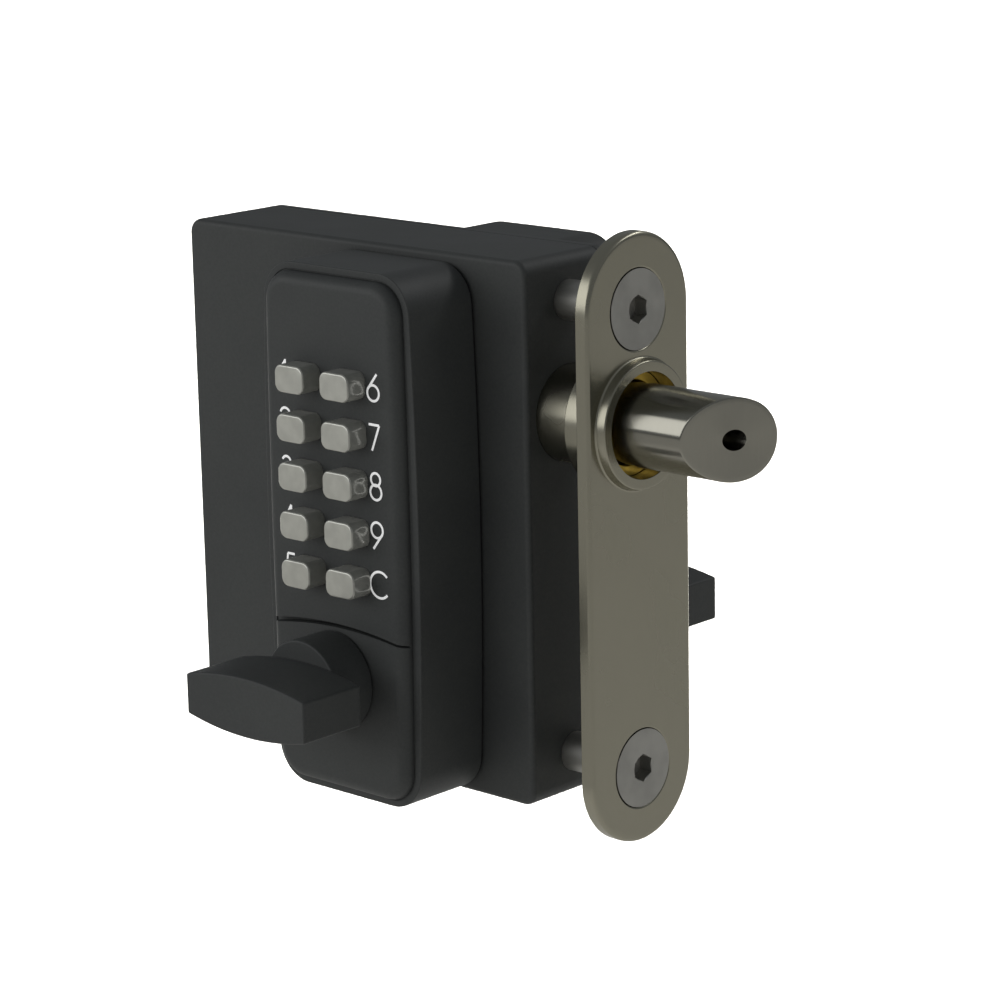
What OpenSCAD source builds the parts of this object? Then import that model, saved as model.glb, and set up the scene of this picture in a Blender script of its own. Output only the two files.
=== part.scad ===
// Keypad gate lock: a case behind the frame's edge, a push-button unit in front, a plain unit behind.
// Origin: centre of the forend plate's back face, where it lies on the edge of the gate frame.
// +X runs out of the gate along the bolt, +Y to the back of the gate, +Z up.

/* [Frame clamp] */
// Thickness of the frame wall held between the case and the forend plate
frame_t = 15; // [12:0.5:20]

/* [Lock case] */
// Length of the case along the bolt
case_l = 95; // [93:0.5:110]
// Height of the case
case_h = 110; // [108:0.5:124]
// Thickness of the case, front to back
case_t = 25; // [24:0.5:28]
// Wall of the case
case_wall = 2.5; // [2:0.25:3]
// Thickness of the cover that closes the back of the case
cover_t = 2.5; // [2:0.25:3]
// Radius of the case corners
case_corner = 3; // [2:0.5:5]
// Height of the bolt above the middle of the case
bolt_z = 23.5; // [22:0.25:25]
// Distance from the frame's edge to the axis of the knobs
backset = 48.2; // [47:0.1:50]
// Drop of the knob axis below the middle of the case
knob_drop = 29.5; // [28.5:0.25:30.5]

/* [Forend plate] */
// Width of the forend plate
forend_w = 30; // [28.5:0.5:36]
// Height of the forend plate
forend_h = 122; // [116:1:136]
// Thickness of the forend plate
forend_t = 3; // [2.5:0.25:4]
// Radius of its rounded front edge
forend_round = 0.9; // [0.3:0.1:1.2]
// Distance between its two screws
screw_pitch = 92; // [90:1:96]
// Diameter of the two forend screws
screw_d = 8; // [6:0.5:8]
// Diameter of their flush heads
screw_head_d = 16; // [13:0.5:16]
// Size of their hexagon sockets across the flats
screw_socket = 5; // [4:0.5:6]
// Length of the screws behind the frame wall
screw_grip = 17; // [12:0.5:20]

/* [Bolt] */
// Diameter of the round bolt
bolt_d = 16.5; // [14:0.5:17]
// Reach of the bolt's end past the frame's edge, on its axis
bolt_out = 26.5; // [22:0.5:30]
// Angle of the bevelled end, at the bolt's axis
bolt_bevel = 31.5; // [20:0.5:40]
// Radius of the bevelled end, which bulges slightly
bolt_nose_r = 42; // [36:2:80]
// Travel of the bolt
bolt_throw = 26; // [20:0.5:26]
// Diameter of the centre hole in the bolt's end
bolt_hole_d = 4.1; // [2:0.1:5]
// Outer diameter of the collar round the bolt
collar_d = 26; // [24.5:0.5:27]
// Bore of the collar
collar_bore = 21; // [20:0.5:21.5]
// Projection of the collar past the forend plate
collar_out = 2; // [1:0.25:4]
// Depth of the bush behind the collar's front edge
bush_inset = 4; // [0.5:0.25:5]

/* [Push-button unit] */
// Greatest width of the unit
pad_w = 42.2; // [41:0.2:46]
// Height of the unit
pad_h = 107.5; // [106.5:0.5:112]
// Bow of each long side
pad_bow = 1.5; // [0.5:0.1:2.5]
// Radius of the corners
pad_corner = 8; // [7:0.5:10]
// Depth from the gasket to the rim
pad_depth = 17.7; // [17.7:0.1:22]
// Rise of the cushioned face above the rim
pad_rise = 2.5; // [1.5:0.25:3]
// Width of the flat rim round the cushioned face
pad_rim = 1.6; // [1:0.1:2.2]
// Side wall of the unit
pad_wall = 3; // [2:0.25:3]
// Wall behind the cushioned face
face_wall = 3.5; // [3:0.1:3.5]
// Drop of the unit's middle below the middle of the case
pad_drop = 0.5; // [0:0.25:0.75]
// Distance of the two fixing bolts from the unit's ends
fixing_inset = 8.25; // [7.5:0.25:8.5]

/* [Buttons] */
// Width of a button
button_w = 7.9; // [6.5:0.1:8.2]
// Height of a button
button_h = 5.6; // [5:0.1:6]
// Corner radius of a button
button_corner = 1.8; // [1:0.1:2.2]
// Projection of a button from the face
button_out = 4.75; // [3.5:0.25:6]
// Travel of a button
button_travel = 2.5; // [1.5:0.1:2.5]
// Distance between the two columns
column_pitch = 12.4; // [12:0.1:13.5]
// Distance between the rows
row_pitch = 9.85; // [9:0.05:9.9]
// Height of the top row above the middle of the case
row_top = 31.4; // [31:0.1:31.8]

/* [Knobs] */
// Length of the front knob's grip
knob_l = 33; // [28:0.5:38]
// Height of its grip in the middle
knob_mid_h = 12.1; // [11:0.1:14]
// Height of its grip at the ends
knob_end_h = 8.2; // [7:0.1:10]
// Depth of its grip
knob_grip_t = 15.5; // [12:0.5:20]
// Diameter of the round base of both knobs
knob_base_d = 20.2; // [18:0.2:22]
// Length of the front knob's base
knob_base_l = 10; // [6:0.5:14]
// Length of the rear knob's grip
rear_knob_l = 40; // [34:0.5:44]
// Height of its grip in the middle
rear_mid_h = 13.4; // [12:0.1:15]
// Height of its grip at the ends
rear_end_h = 9.2; // [8:0.1:11]
// Length of the rear knob's base
rear_base_l = 12.3; // [8:0.1:16]
// Size of the square spindles across the flats
spindle_w = 7; // [6:0.1:7]
// Throw radius of the follower arm
arm_r = 22; // [20:0.25:22]

/* [Hidden] */
DIGITS = ["1", "2", "3", "4", "5", "6", "7", "8", "9", "c"];

$fn = 64;
// Facets of the very large arcs, and of circles inside a hull
wide_fn = 720;
hull_fn = 32;
// Overlap that keeps two joined shapes one solid, and runs a cut clear of a face
bite = 0.05;
over = 1;
// Clearances: press or threaded seat, running fit, free gap
seat = 0.03;
run = 0.05;
free = 0.3;

// Places of the case
case_x0 = -frame_t - case_l;
case_x1 = -frame_t;
case_mid_x = (case_x0 + case_x1) / 2;
case_front = -case_t / 2;
cover_y = case_t / 2 - cover_t;
inner_x0 = case_x0 + case_wall;
inner_x1 = case_x1 - case_wall;
inner_y0 = case_front + case_wall;
knob_x = -backset;
knob_z = -knob_drop;
post_d = 9;
post_inset_x = 4;
post_inset_z = 5;
cover_screw_d = 4;
cover_screw_head_d = 7.5;
cover_screw_l = 10;
boss_w = 14;
boss_h = 14;

// Forend screws: a flat head as deep as the plate, a plain shank in the frame, a thread in the case
head_ring = 0.25;
thread_step = 0.25;
thread_d = screw_d - 2 * thread_step;
socket_depth = 3;

// Bolt, its tube and its spring
collar_x = forend_t + collar_out;
collar_depth = 5;
collar_step = 1;
collar_gap = 0.1;
collar_lip = 0.2;
tube_d = 19.6;
tube_grip = 10;
tube_block = 26;
bush_x = collar_x - bush_inset;
bolt_relief = 0.2;
land_gap = 0.1;
land_x = collar_x + land_gap;
carriage_t = 4;
carriage_w = 16;
carriage_x = knob_x + bolt_throw / 2;
bolt_tail_x = carriage_x - carriage_w / 2;
slot_end_x = carriage_x + carriage_w / 2 + free;
pin_d = 4;
pin_l = bolt_d - 1;
rod_d = 8;
rod_flange_d = 14;
rod_flange_t = 2;
rod_stud_d = 5;
rod_gap = 7;
spring_wire = 1.4;
spring_r = 5.8;
spring_turns = 13;
end_hole_depth = 8;

// Follower and the slot that its roller drives
arm_angle = asin(bolt_throw / 2 / arm_r);
hub_d = 21;
hub_l = 17.4;
journal_d = 16;
journal_gap = 0.2;
bush_d = 20;
bush_flange_d = 24;
bush_flange_t = 1;
arm_w = 10;
arm_y = 2.6;
arm_t = 4;
roller_d = 6;
roller_l = 4.8;
roller_play = 0.5;
drive_head_t = 0.9;
spindle_play = 0.05;
leg_gap = 1.5;
leg_z = knob_z + hub_d / 2 + leg_gap;
slot_gap = 0.8;
slot_top_z = knob_z + arm_r + roller_d / 2 + slot_gap;
rib_x = bolt_tail_x - bolt_throw;
rib_z = 0;
rib_h = 8;

// Push-button unit, from the case forwards
gasket_t = 0.8;
gasket_inset = 0.4;
pad_x = knob_x;
pad_z = -pad_drop;
pad_back = case_front - gasket_t;
rim_y = pad_back - pad_depth;
face_y = rim_y - pad_rise;
inner_face = face_y + face_wall;
plate_t = 2;
plate_play = 0.15;
plate_y = pad_back - plate_t;
cushion_steps = 6;
slice = 0.01;
pillar_d = 9;
fixing_d = 5;
fixing_head_d = 10;
fixing_hole_d = 5.4;
fixing_reach = 11;
fixing_pitch = pad_h - 2 * fixing_inset;
spindle_hole_d = 12.6;
// Engraved arc over the knob: its upper edge's radius and crown, its width at the crown and its taper
groove_r = 99.5;
groove_top = 11.55;
groove_w = 0.8;
groove_taper = 0.95;
groove_depth = 0.9;
rear_face = -face_y;

// Buttons, code chamber and code slide
button_play = 0.15;
flange_over = 0.7;
button_flange_t = 1;
stem_d = 4;
slide_t = 1.5;
slide_travel = 3;
slide_back = 3.1;
slide_y = plate_y - slide_back - slide_t;
slide_play = 0.3;
stem_gap = 0.4;
stem_end = slide_y - stem_gap;
chamber_wall = 2.8;
chamber_front = slide_y - slide_play - chamber_wall;
chamber_side = 2;
window_play = 0.3;
window_w = stem_d + 2 * window_play;
window_rim = 1.5;
slide_edge = 2;
slide_w = column_pitch + window_w + 2 * slide_edge;
chamber_w = slide_w + 2 * chamber_side;
slide_top = row_top + window_w / 2 + slide_travel + window_rim;
slide_bottom = row_top - 4 * row_pitch - window_w / 2 - window_rim;
chamber_rim = 1.6;
chamber_top = slide_top + chamber_rim;
chamber_bottom = slide_bottom - chamber_rim;
spring_window_w = 5.2;
spring_window_z = 6.2;
spring_window_h = 11.8;
lug_w = 3.6;
lug_h = 1.5;
lug_lift = 0.3;
pocket_reach = 1.7;
button_spring_wire = 0.6;
button_spring_r = 2.9;
button_spring_turns = 3;
slide_spring_wire = 0.6;
slide_spring_r = 1.8;
slide_spring_turns = 5;
chamber_screw_d = 3;
chamber_screw_head_d = 5.5;
chamber_screw_head_h = 1.4;
chamber_screw_l = 4.6;
chamber_screw_inset = 2.4;

// Knob neck, circlip and clutch
neck_d = 14;
neck_over = 2.4;
neck_end = inner_face + neck_over;
clip_groove_d = 12.6;
clip_d = 18;
clip_t = 1;
clip_lift = 0.2;
clip_opening = 5;
driver_d = 17;
driver_t = 4;
hub_disc_t = 2.8;
hub_gap = 0.4;
hub_boss_d = 13;
ball_d = 3;
ball_out = 0.7;
shoe_gap = 1;
shoe_h = 2.8;
shoe_w = 5;
tail_w = 4;
driver_y = neck_end;
disc_y = driver_y + driver_t + hub_gap;
shoe_z = knob_z + driver_d / 2 + shoe_gap + slide_travel;
knob_edge = 0.4;
rear_neck_l = 9.5;
rear_neck_end = rear_face - rear_neck_l;
socket_reach = 9;
rear_socket = rear_neck_end + socket_reach;

function button_place(i) =
    [pad_x + (i < 5 ? -1 : 1) * column_pitch / 2, row_top - (i % 5) * row_pitch];
function fixing_z(side) = pad_z + side * fixing_pitch / 2;
function radius(points, i, n) = norm(points[i + n] - points[i]);
function coil_points(r, length, turns, rings) =
    [for (i = [0 : turns * rings])
        [r * cos(360 * i / rings), r * sin(360 * i / rings), length * i / (turns * rings)]];
function coil_gap(r, length, turns, wire) = let (rings = 8, p = coil_points(r, length, turns, rings))
    min([for (i = [0 : len(p) - 1 - rings]) radius(p, i, rings)]) - wire;

// Extrudes a shape drawn in X and Z from y0 to y1
module along_y(y0, y1) {
    translate([0, y1, 0]) rotate([90, 0, 0]) linear_extrude(y1 - y0) children();
}

// Extrudes a shape drawn in Y and Z from x0 to x1
module along_x(x0, x1) {
    translate([x0, 0, 0]) rotate([90, 0, 90]) linear_extrude(x1 - x0) children();
}

// Round bar along Y, between two planes
module bar_y(d, y0, y1) {
    translate([0, y0, 0]) rotate([-90, 0, 0]) cylinder(d = d, h = y1 - y0);
}

// Round bar along X, between two planes
module bar_x(d, x0, x1) {
    translate([x0, 0, 0]) rotate([0, 90, 0]) cylinder(d = d, h = x1 - x0);
}

// Cone along Y from one diameter to another
module cone_y(d0, d1, y0, y1) {
    translate([0, y0, 0]) rotate([-90, 0, 0]) cylinder(d1 = d0, d2 = d1, h = y1 - y0);
}

module at_knob() {
    translate([knob_x, 0, knob_z]) children();
}

module at_bolt() {
    translate([0, 0, bolt_z]) children();
}

module at_fixings() {
    for (side = [-1, 1]) translate([pad_x, 0, fixing_z(side)]) children();
}

module at_forend_screws() {
    for (side = [-1, 1]) translate([0, 0, side * screw_pitch / 2]) children();
}

module at_cover_posts() {
    for (x = [inner_x0 + post_inset_x, inner_x1 - post_inset_x - boss_w], side = [-1, 1])
        translate([x, 0, side * (case_h / 2 - case_wall - post_inset_z)]) children();
}

// Rectangle with round corners, centred
module rounded(w, h, r) {
    square([w, h - 2 * r], center = true);
    square([w - 2 * r, h], center = true);
    for (x = [-1, 1], z = [-1, 1]) translate([x * (w / 2 - r), z * (h / 2 - r)]) circle(r);
}

module case_outline(inset = 0) {
    translate([case_mid_x, 0])
        rounded(case_l - 2 * inset, case_h - 2 * inset, max(case_corner - inset, 0.5));
}

// Outline of the two units: bowed sides and round corners
module pad_outline(inset = 0) {
    side_r = (pad_h * pad_h / 4 + pad_bow * pad_bow) / (2 * pad_bow);
    corner_z = pad_h / 2 - pad_corner;
    corner_x = sqrt(pow(side_r - pad_corner, 2) - corner_z * corner_z) - (side_r - pad_w / 2);
    tangent_z = corner_z * (side_r - inset) / (side_r - pad_corner);
    translate([pad_x, pad_z]) {
        intersection() {
            translate([pad_w / 2 - side_r, 0]) circle(side_r - inset, $fn = wide_fn);
            translate([side_r - pad_w / 2, 0]) circle(side_r - inset, $fn = wide_fn);
            square([pad_w, 2 * tangent_z], center = true);
        }
        square([2 * corner_x, pad_h - 2 * inset], center = true);
        for (x = [-1, 1], z = [-1, 1])
            translate([x * corner_x, z * corner_z]) circle(pad_corner - inset);
    }
}

// Cushioned face: the rim's inner outline, rounded over to the flat front
module cushion() {
    hull() for (i = [0 : cushion_steps]) {
        a = 90 * i / cushion_steps;
        y = rim_y - pad_rise * sin(a);
        along_y(y, y + slice + (i == 0 ? bite : 0))
            pad_outline(pad_rim + pad_rise * (1 - cos(a)), $fn = hull_fn);
    }
}

// Hollow casting shared by the front and the rear unit, open at its back
module pad_shell() {
    difference() {
        union() {
            difference() {
                union() {
                    along_y(rim_y, pad_back) pad_outline();
                    cushion();
                }
                along_y(inner_face, pad_back + over) pad_outline(pad_wall);
            }
            at_fixings() bar_y(pillar_d, inner_face - bite, plate_y);
        }
        at_knob() bar_y(neck_d + 2 * run, face_y - over, inner_face + over);
    }
}

// Plate that closes the back of a unit
module pad_plate() {
    difference() {
        along_y(plate_y, pad_back) pad_outline(pad_wall + plate_play);
        at_knob() bar_y(spindle_hole_d, plate_y - over, pad_back + over);
        at_fixings() bar_y(fixing_hole_d, plate_y - over, pad_back + over);
    }
}

module pad_gasket() {
    difference() {
        along_y(pad_back, case_front) pad_outline(gasket_inset);
        at_knob() bar_y(bush_flange_d, pad_back - over, case_front + over);
        at_fixings() bar_y(fixing_hole_d + free, pad_back - over, case_front + over);
    }
}

// Side outline of a grip: two shallow arcs between two flat ends
module grip_outline(l, mid_h, end_h, inset = 0) {
    sag = (mid_h - end_h) / 2;
    r = (l * l / 4 + sag * sag) / (2 * sag);
    intersection() {
        translate([0, mid_h / 2 - r]) circle(r - inset, $fn = wide_fn);
        translate([0, r - mid_h / 2]) circle(r - inset, $fn = wide_fn);
        square([l - 2 * inset, mid_h], center = true);
    }
}

// Knob on the front face: grip, round base and the neck that turns in the casting
module knob_body(l, mid_h, end_h, base_l, back) {
    base_y = face_y - base_l;
    front_y = base_y - knob_grip_t;
    hull() {
        along_y(front_y + knob_edge, base_y + bite) grip_outline(l, mid_h, end_h);
        along_y(front_y, front_y + slice) grip_outline(l, mid_h, end_h, knob_edge);
    }
    cone_y(knob_base_d - 2 * knob_edge, knob_base_d, base_y, base_y + knob_edge);
    bar_y(knob_base_d, base_y + knob_edge, face_y - free);
    difference() {
        bar_y(neck_d, face_y - free - bite, back);
        clip_groove();
    }
}

module clip_groove() {
    y = inner_face + clip_lift - run;
    difference() {
        bar_y(neck_d + over, y, y + clip_t + 2 * run);
        bar_y(clip_groove_d, y - over, y + clip_t + over);
    }
}

// Open retaining ring in the neck's groove
module circlip() {
    y = inner_face + clip_lift;
    color("dimgray") at_knob() difference() {
        bar_y(clip_d, y, y + clip_t);
        bar_y(clip_groove_d + 2 * run, y - over, y + clip_t + over);
        translate([-clip_opening / 2, y - over, -clip_d])
            cube([clip_opening, clip_t + 2 * over, clip_d]);
    }
}

// Coil spring along +Z: one tube of 6 sides, 8 rings a turn
module coil(r, wire, length, turns) {
    sides = 6;
    rings = 8;
    last = turns * rings;
    points = [for (i = [0 : last], s = [0 : sides - 1])
        let (a = 360 * i / rings, b = 360 * s / sides, q = r + wire / 2 * cos(b))
            [q * cos(a), q * sin(a), length * i / last + wire / 2 * sin(b)]];
    walls = [for (i = [0 : last - 1], s = [0 : sides - 1])
        let (n = (s + 1) % sides, p = i * sides)
            each [[p + s, p + sides + s, p + sides + n], [p + s, p + sides + n, p + n]]];
    ends = [for (s = [1 : sides - 2]) each [[0, s, s + 1],
        [last * sides, last * sides + s + 1, last * sides + s]]];
    polyhedron(points, concat(walls, ends));
}

module lock_case() {
    color("#3a3c3c") difference() {
        union() {
            difference() {
                along_y(case_front, cover_y) case_outline();
                along_y(inner_y0, cover_y + over) case_outline(case_wall);
            }
            intersection() {
                along_y(case_front, cover_y) case_outline();
                union() {
                    at_cover_posts() bar_y(post_d, inner_y0 - bite, cover_y);
                    at_forend_screws()
                        translate([inner_x1 - boss_w, inner_y0 - bite, -boss_h / 2])
                            cube([boss_w + bite, cover_y - inner_y0 + bite, boss_h]);
                }
            }
            translate([case_x1 - tube_grip, inner_y0 - bite, bolt_z - tube_block / 2])
                cube([tube_grip - bite, cover_y - inner_y0 + bite, tube_block]);
            translate([rib_x, inner_y0 - bite, rib_z])
                cube([inner_x1 - rib_x + bite, -carriage_t / 2 - free - inner_y0 + bite, rib_h]);
        }
        at_bolt() bar_x(tube_d + 2 * seat, case_x1 - tube_grip - over, case_x1 + over);
        at_forend_screws() {
            bar_x(screw_d + 2 * seat, inner_x1, case_x1 + over);
            bar_x(thread_d + 2 * seat, case_x1 - screw_grip - over, case_x1);
        }
        at_cover_posts()
            bar_y(cover_screw_d + 2 * seat, cover_y - cover_screw_l, cover_y + over);
        at_knob() bar_y(bush_d + 2 * seat, case_front - over, inner_y0 + over);
        at_fixings() bar_y(fixing_hole_d, case_front - over, cover_y + over);
        at_bolt() bar_x(rod_stud_d + 2 * seat, case_x0 - over, inner_x0 + over);
    }
}

module case_cover() {
    color("#3a3c3c") difference() {
        union() {
            along_y(cover_y, case_t / 2) case_outline();
            translate([rib_x, carriage_t / 2 + free, rib_z])
                cube([inner_x1 - free - rib_x, cover_y - carriage_t / 2 - free + bite, rib_h]);
        }
        at_knob() bar_y(bush_d + 2 * seat, cover_y - over, case_t / 2 + over);
        at_fixings() bar_y(fixing_hole_d, cover_y - over, case_t / 2 + over);
        at_cover_posts() {
            bar_y(cover_screw_d + 2 * run, cover_y - over, case_t / 2 + over);
            cone_y(cover_screw_d, cover_screw_head_d + 2 * free, case_t / 2
                - (cover_screw_head_d - cover_screw_d) / 2 - free, case_t / 2 + bite);
        }
    }
}

module cover_screws() {
    cone_h = (cover_screw_head_d - cover_screw_d) / 2;
    color("silver") at_cover_posts() difference() {
        union() {
            bar_y(cover_screw_d, cover_y - cover_screw_l + over, case_t / 2 - cone_h);
            cone_y(cover_screw_d, cover_screw_head_d, case_t / 2 - cone_h - bite, case_t / 2);
        }
        translate([0, case_t / 2 - cone_h / 2, 0]) rotate([-90, 0, 0])
            cylinder(d = cover_screw_d / 2 / cos(30), h = cone_h, $fn = 6);
    }
}

module guide_tube() {
    color("#5f5d55") at_bolt() difference() {
        union() {
            bar_x(tube_d, case_x1 - tube_grip, bite - collar_depth);
            bar_x(collar_d, -collar_depth, collar_x - collar_lip);
            translate([collar_x - collar_lip, 0, 0]) rotate([0, 90, 0])
                cylinder(d1 = collar_d, d2 = collar_d - 2 * collar_lip, h = collar_lip);
        }
        bar_x(collar_bore, collar_step - collar_depth, collar_x + over);
        bar_x(bolt_d + 2 * free, case_x1 - tube_grip - over, collar_x);
    }
}

module bolt_bush() {
    color("#8a7030") at_bolt() difference() {
        bar_x(collar_bore - 2 * seat, collar_step - collar_depth, bush_x);
        bar_x(bolt_d + 2 * run, -collar_depth, bush_x + over);
    }
}

module forend_outline(inset = 0) {
    end_z = (forend_h - forend_w) / 2;
    square([forend_w - 2 * inset, 2 * end_z], center = true);
    for (z = [-1, 1]) translate([0, z * end_z]) circle(forend_w / 2 - inset);
}

// Half section of the plate with its rounded front edge, as [distance from the middle, height]
module forend_section() {
    half = forend_w / 2;
    square([half, forend_t - forend_round]);
    square([half - forend_round, forend_t]);
    translate([half - forend_round, forend_t - forend_round]) circle(forend_round);
}

module forend_plate() {
    end_z = (forend_h - forend_w) / 2;
    sink = bite * (screw_head_d - screw_d) / forend_t;
    color("#646258") difference() {
        union() {
            for (z = [-1, 1]) translate([0, 0, z * end_z]) rotate([0, 90, 0])
                rotate_extrude() forend_section();
            for (side = [0, 1]) translate([0, 0, -end_z]) mirror([0, side, 0])
                linear_extrude(2 * end_z) rotate(90) mirror([0, 1]) forend_section();
        }
        at_bolt() bar_x(collar_d + 2 * collar_gap, -over, forend_t + over);
        at_forend_screws() translate([-bite, 0, 0]) rotate([0, 90, 0])
            cylinder(d1 = screw_d + 2 * head_ring - sink, d2 = screw_head_d + 2 * head_ring + sink,
                h = forend_t + 2 * bite);
    }
}

module forend_screws() {
    color("#6c6c68") at_forend_screws() difference() {
        union() {
            bar_x(thread_d, case_x1 - screw_grip, case_x1 + bite);
            bar_x(screw_d, case_x1, 0);
            rotate([0, 90, 0]) cylinder(d1 = screw_d, d2 = screw_head_d, h = forend_t);
        }
        translate([forend_t - socket_depth, 0, 0]) rotate([0, 90, 0])
            cylinder(d = screw_socket / cos(30), h = socket_depth + over, $fn = 6);
    }
}

// Flanged bush in one wall of the case; side -1 is the front wall
module spindle_bush(side, wall) {
    color("#8a7030") at_knob() mirror([0, side > 0 ? 1 : 0, 0]) difference() {
        union() {
            bar_y(bush_d, case_front, case_front + wall + bite);
            bar_y(bush_flange_d, case_front + wall, case_front + wall + bush_flange_t);
        }
        bar_y(journal_d + 2 * run, case_front - over, case_front + wall + bush_flange_t + over);
    }
}

module spring_rod() {
    color("silver") at_bolt() {
        bar_x(rod_stud_d, case_x0, inner_x0 + bite);
        bar_x(rod_flange_d, inner_x0, inner_x0 + rod_flange_t);
        bar_x(rod_d, inner_x0 + bite, bolt_tail_x - bolt_throw - rod_gap);
    }
}

module bolt_spring() {
    start = inner_x0 + rod_flange_t + free + spring_wire / 2;
    length = bolt_tail_x - free - spring_wire / 2 - start;
    echo(bolt_spring_gap = coil_gap(spring_r, length, spring_turns, spring_wire));
    color("gray") at_bolt() translate([start, 0, 0]) rotate([0, 90, 0])
        coil(spring_r, spring_wire, length, spring_turns);
}

module bolt() {
    size = 4 * bolt_d;
    color("#55534e") difference() {
        at_bolt() {
            bar_x(bolt_d - 2 * bolt_relief, bolt_tail_x, land_x + bite);
            bar_x(bolt_d, land_x, bolt_out + bolt_d);
        }
        difference() {
            translate([land_x, -size / 2, bolt_z - size / 2]) cube(size);
            translate([bolt_out - bolt_nose_r * cos(bolt_bevel),
                       bolt_nose_r * sin(bolt_bevel), bolt_z - size])
                cylinder(r = bolt_nose_r, h = 2 * size);
        }
        at_bolt() bar_x(bolt_hole_d, bolt_out - end_hole_depth, bolt_out + bolt_d);
        translate([bolt_tail_x - over, -carriage_t / 2 - run, bolt_z - bolt_d])
            cube([slot_end_x - bolt_tail_x + over, carriage_t + 2 * run, 2 * bolt_d]);
        translate([carriage_x, 0, bolt_z]) bar_y(pin_d + 2 * seat, -bolt_d, bolt_d);
    }
}

module bolt_carriage() {
    top = bolt_z + bolt_d / 2 - free;
    slot_w = roller_d + 2 * roller_play;
    color("silver") difference() {
        translate([bolt_tail_x, -carriage_t / 2, leg_z])
            cube([carriage_w, carriage_t, top - leg_z]);
        translate([carriage_x - slot_w / 2, -carriage_t, leg_z - over])
            cube([slot_w, 2 * carriage_t, slot_top_z - slot_w / 2 - leg_z + over]);
        translate([carriage_x, 0, slot_top_z - slot_w / 2]) bar_y(slot_w, -carriage_t, carriage_t);
        translate([carriage_x, 0, bolt_z]) bar_y(pin_d + 2 * seat, -carriage_t, carriage_t);
    }
}

module carriage_pin() {
    color("gray") translate([carriage_x, 0, bolt_z]) bar_y(pin_d, -pin_l / 2, pin_l / 2);
}

module square_hole(w, y0, y1) {
    translate([-w / 2, y0, -w / 2]) cube([w, y1 - y0, w]);
}

module at_arm_end() {
    at_knob() translate([arm_r * sin(arm_angle), 0, arm_r * cos(arm_angle)]) children();
}

module follower() {
    journal = case_t / 2 - journal_gap;
    color("silver") difference() {
        union() {
            at_knob() bar_y(hub_d, -hub_l / 2, hub_l / 2);
            at_knob() bar_y(journal_d, -journal, journal);
            at_knob() along_y(arm_y, arm_y + arm_t) rotate(-arm_angle) {
                translate([-arm_w / 2, 0]) square([arm_w, arm_r]);
                translate([0, arm_r]) circle(d = arm_w);
            }
        }
        at_knob() square_hole(spindle_w + 2 * spindle_play, -case_t, case_t);
        at_arm_end() bar_y(pin_d + 2 * seat, -case_t, case_t);
    }
}

module drive_pin() {
    head_y = -roller_l / 2 - free;
    color("gray") at_arm_end() {
        bar_y(pin_d, head_y - bite, arm_y + arm_t);
        bar_y(roller_d, head_y - drive_head_t, head_y);
    }
}

module drive_roller() {
    color("#8a7030") at_arm_end() difference() {
        bar_y(roller_d, -roller_l / 2, roller_l / 2);
        bar_y(pin_d + 2 * run, -roller_l, roller_l);
    }
}

module front_spindle() {
    color("silver") at_knob() square_hole(spindle_w, disc_y, -free);
}

module clutch_hub() {
    color("#8a7030") at_knob() difference() {
        union() {
            bar_y(driver_d, disc_y, disc_y + hub_disc_t);
            bar_y(hub_boss_d, disc_y, plate_y - free);
        }
        square_hole(spindle_w + 2 * spindle_play, disc_y - over, plate_y + over);
    }
}

module rear_spindle() {
    color("silver") at_knob() square_hole(spindle_w, free, rear_socket - free);
}

module keypad_gasket() {
    color("#202020") pad_gasket();
}

module keypad_plate() {
    color("silver") difference() {
        pad_plate();
        at_chamber_screws() {
            bar_y(chamber_screw_d + 2 * run, plate_y - over, pad_back + over);
            cone_y(chamber_screw_d, chamber_screw_head_d + 2 * run,
                pad_back - chamber_screw_head_h, pad_back + bite);
        }
    }
}

module keypad_housing() {
    color("#37393a") difference() {
        pad_shell();
        for (i = [0 : 9]) let (p = button_place(i))
            along_y(face_y - over, inner_face + over) translate(p)
                rounded(button_w + 2 * button_play, button_h + 2 * button_play,
                    button_corner + button_play);
        at_fixings() bar_y(fixing_d + 2 * seat, plate_y - fixing_reach - free, pad_back);
        along_y(face_y - over, face_y + groove_depth)
            translate([pad_x, knob_z + groove_top]) difference() {
                translate([0, -groove_r]) circle(groove_r, $fn = wide_fn);
                translate([0, -groove_w]) rotate(groove_taper) translate([0, -groove_r])
                    circle(groove_r, $fn = wide_fn);
            }
    }
}

module at_chamber_screws() {
    x = chamber_w / 2 - chamber_screw_inset;
    for (s = [-1, 1], z = [chamber_bottom + chamber_screw_inset, chamber_top - chamber_screw_inset])
        translate([pad_x + s * x, 0, z]) children();
}

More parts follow.
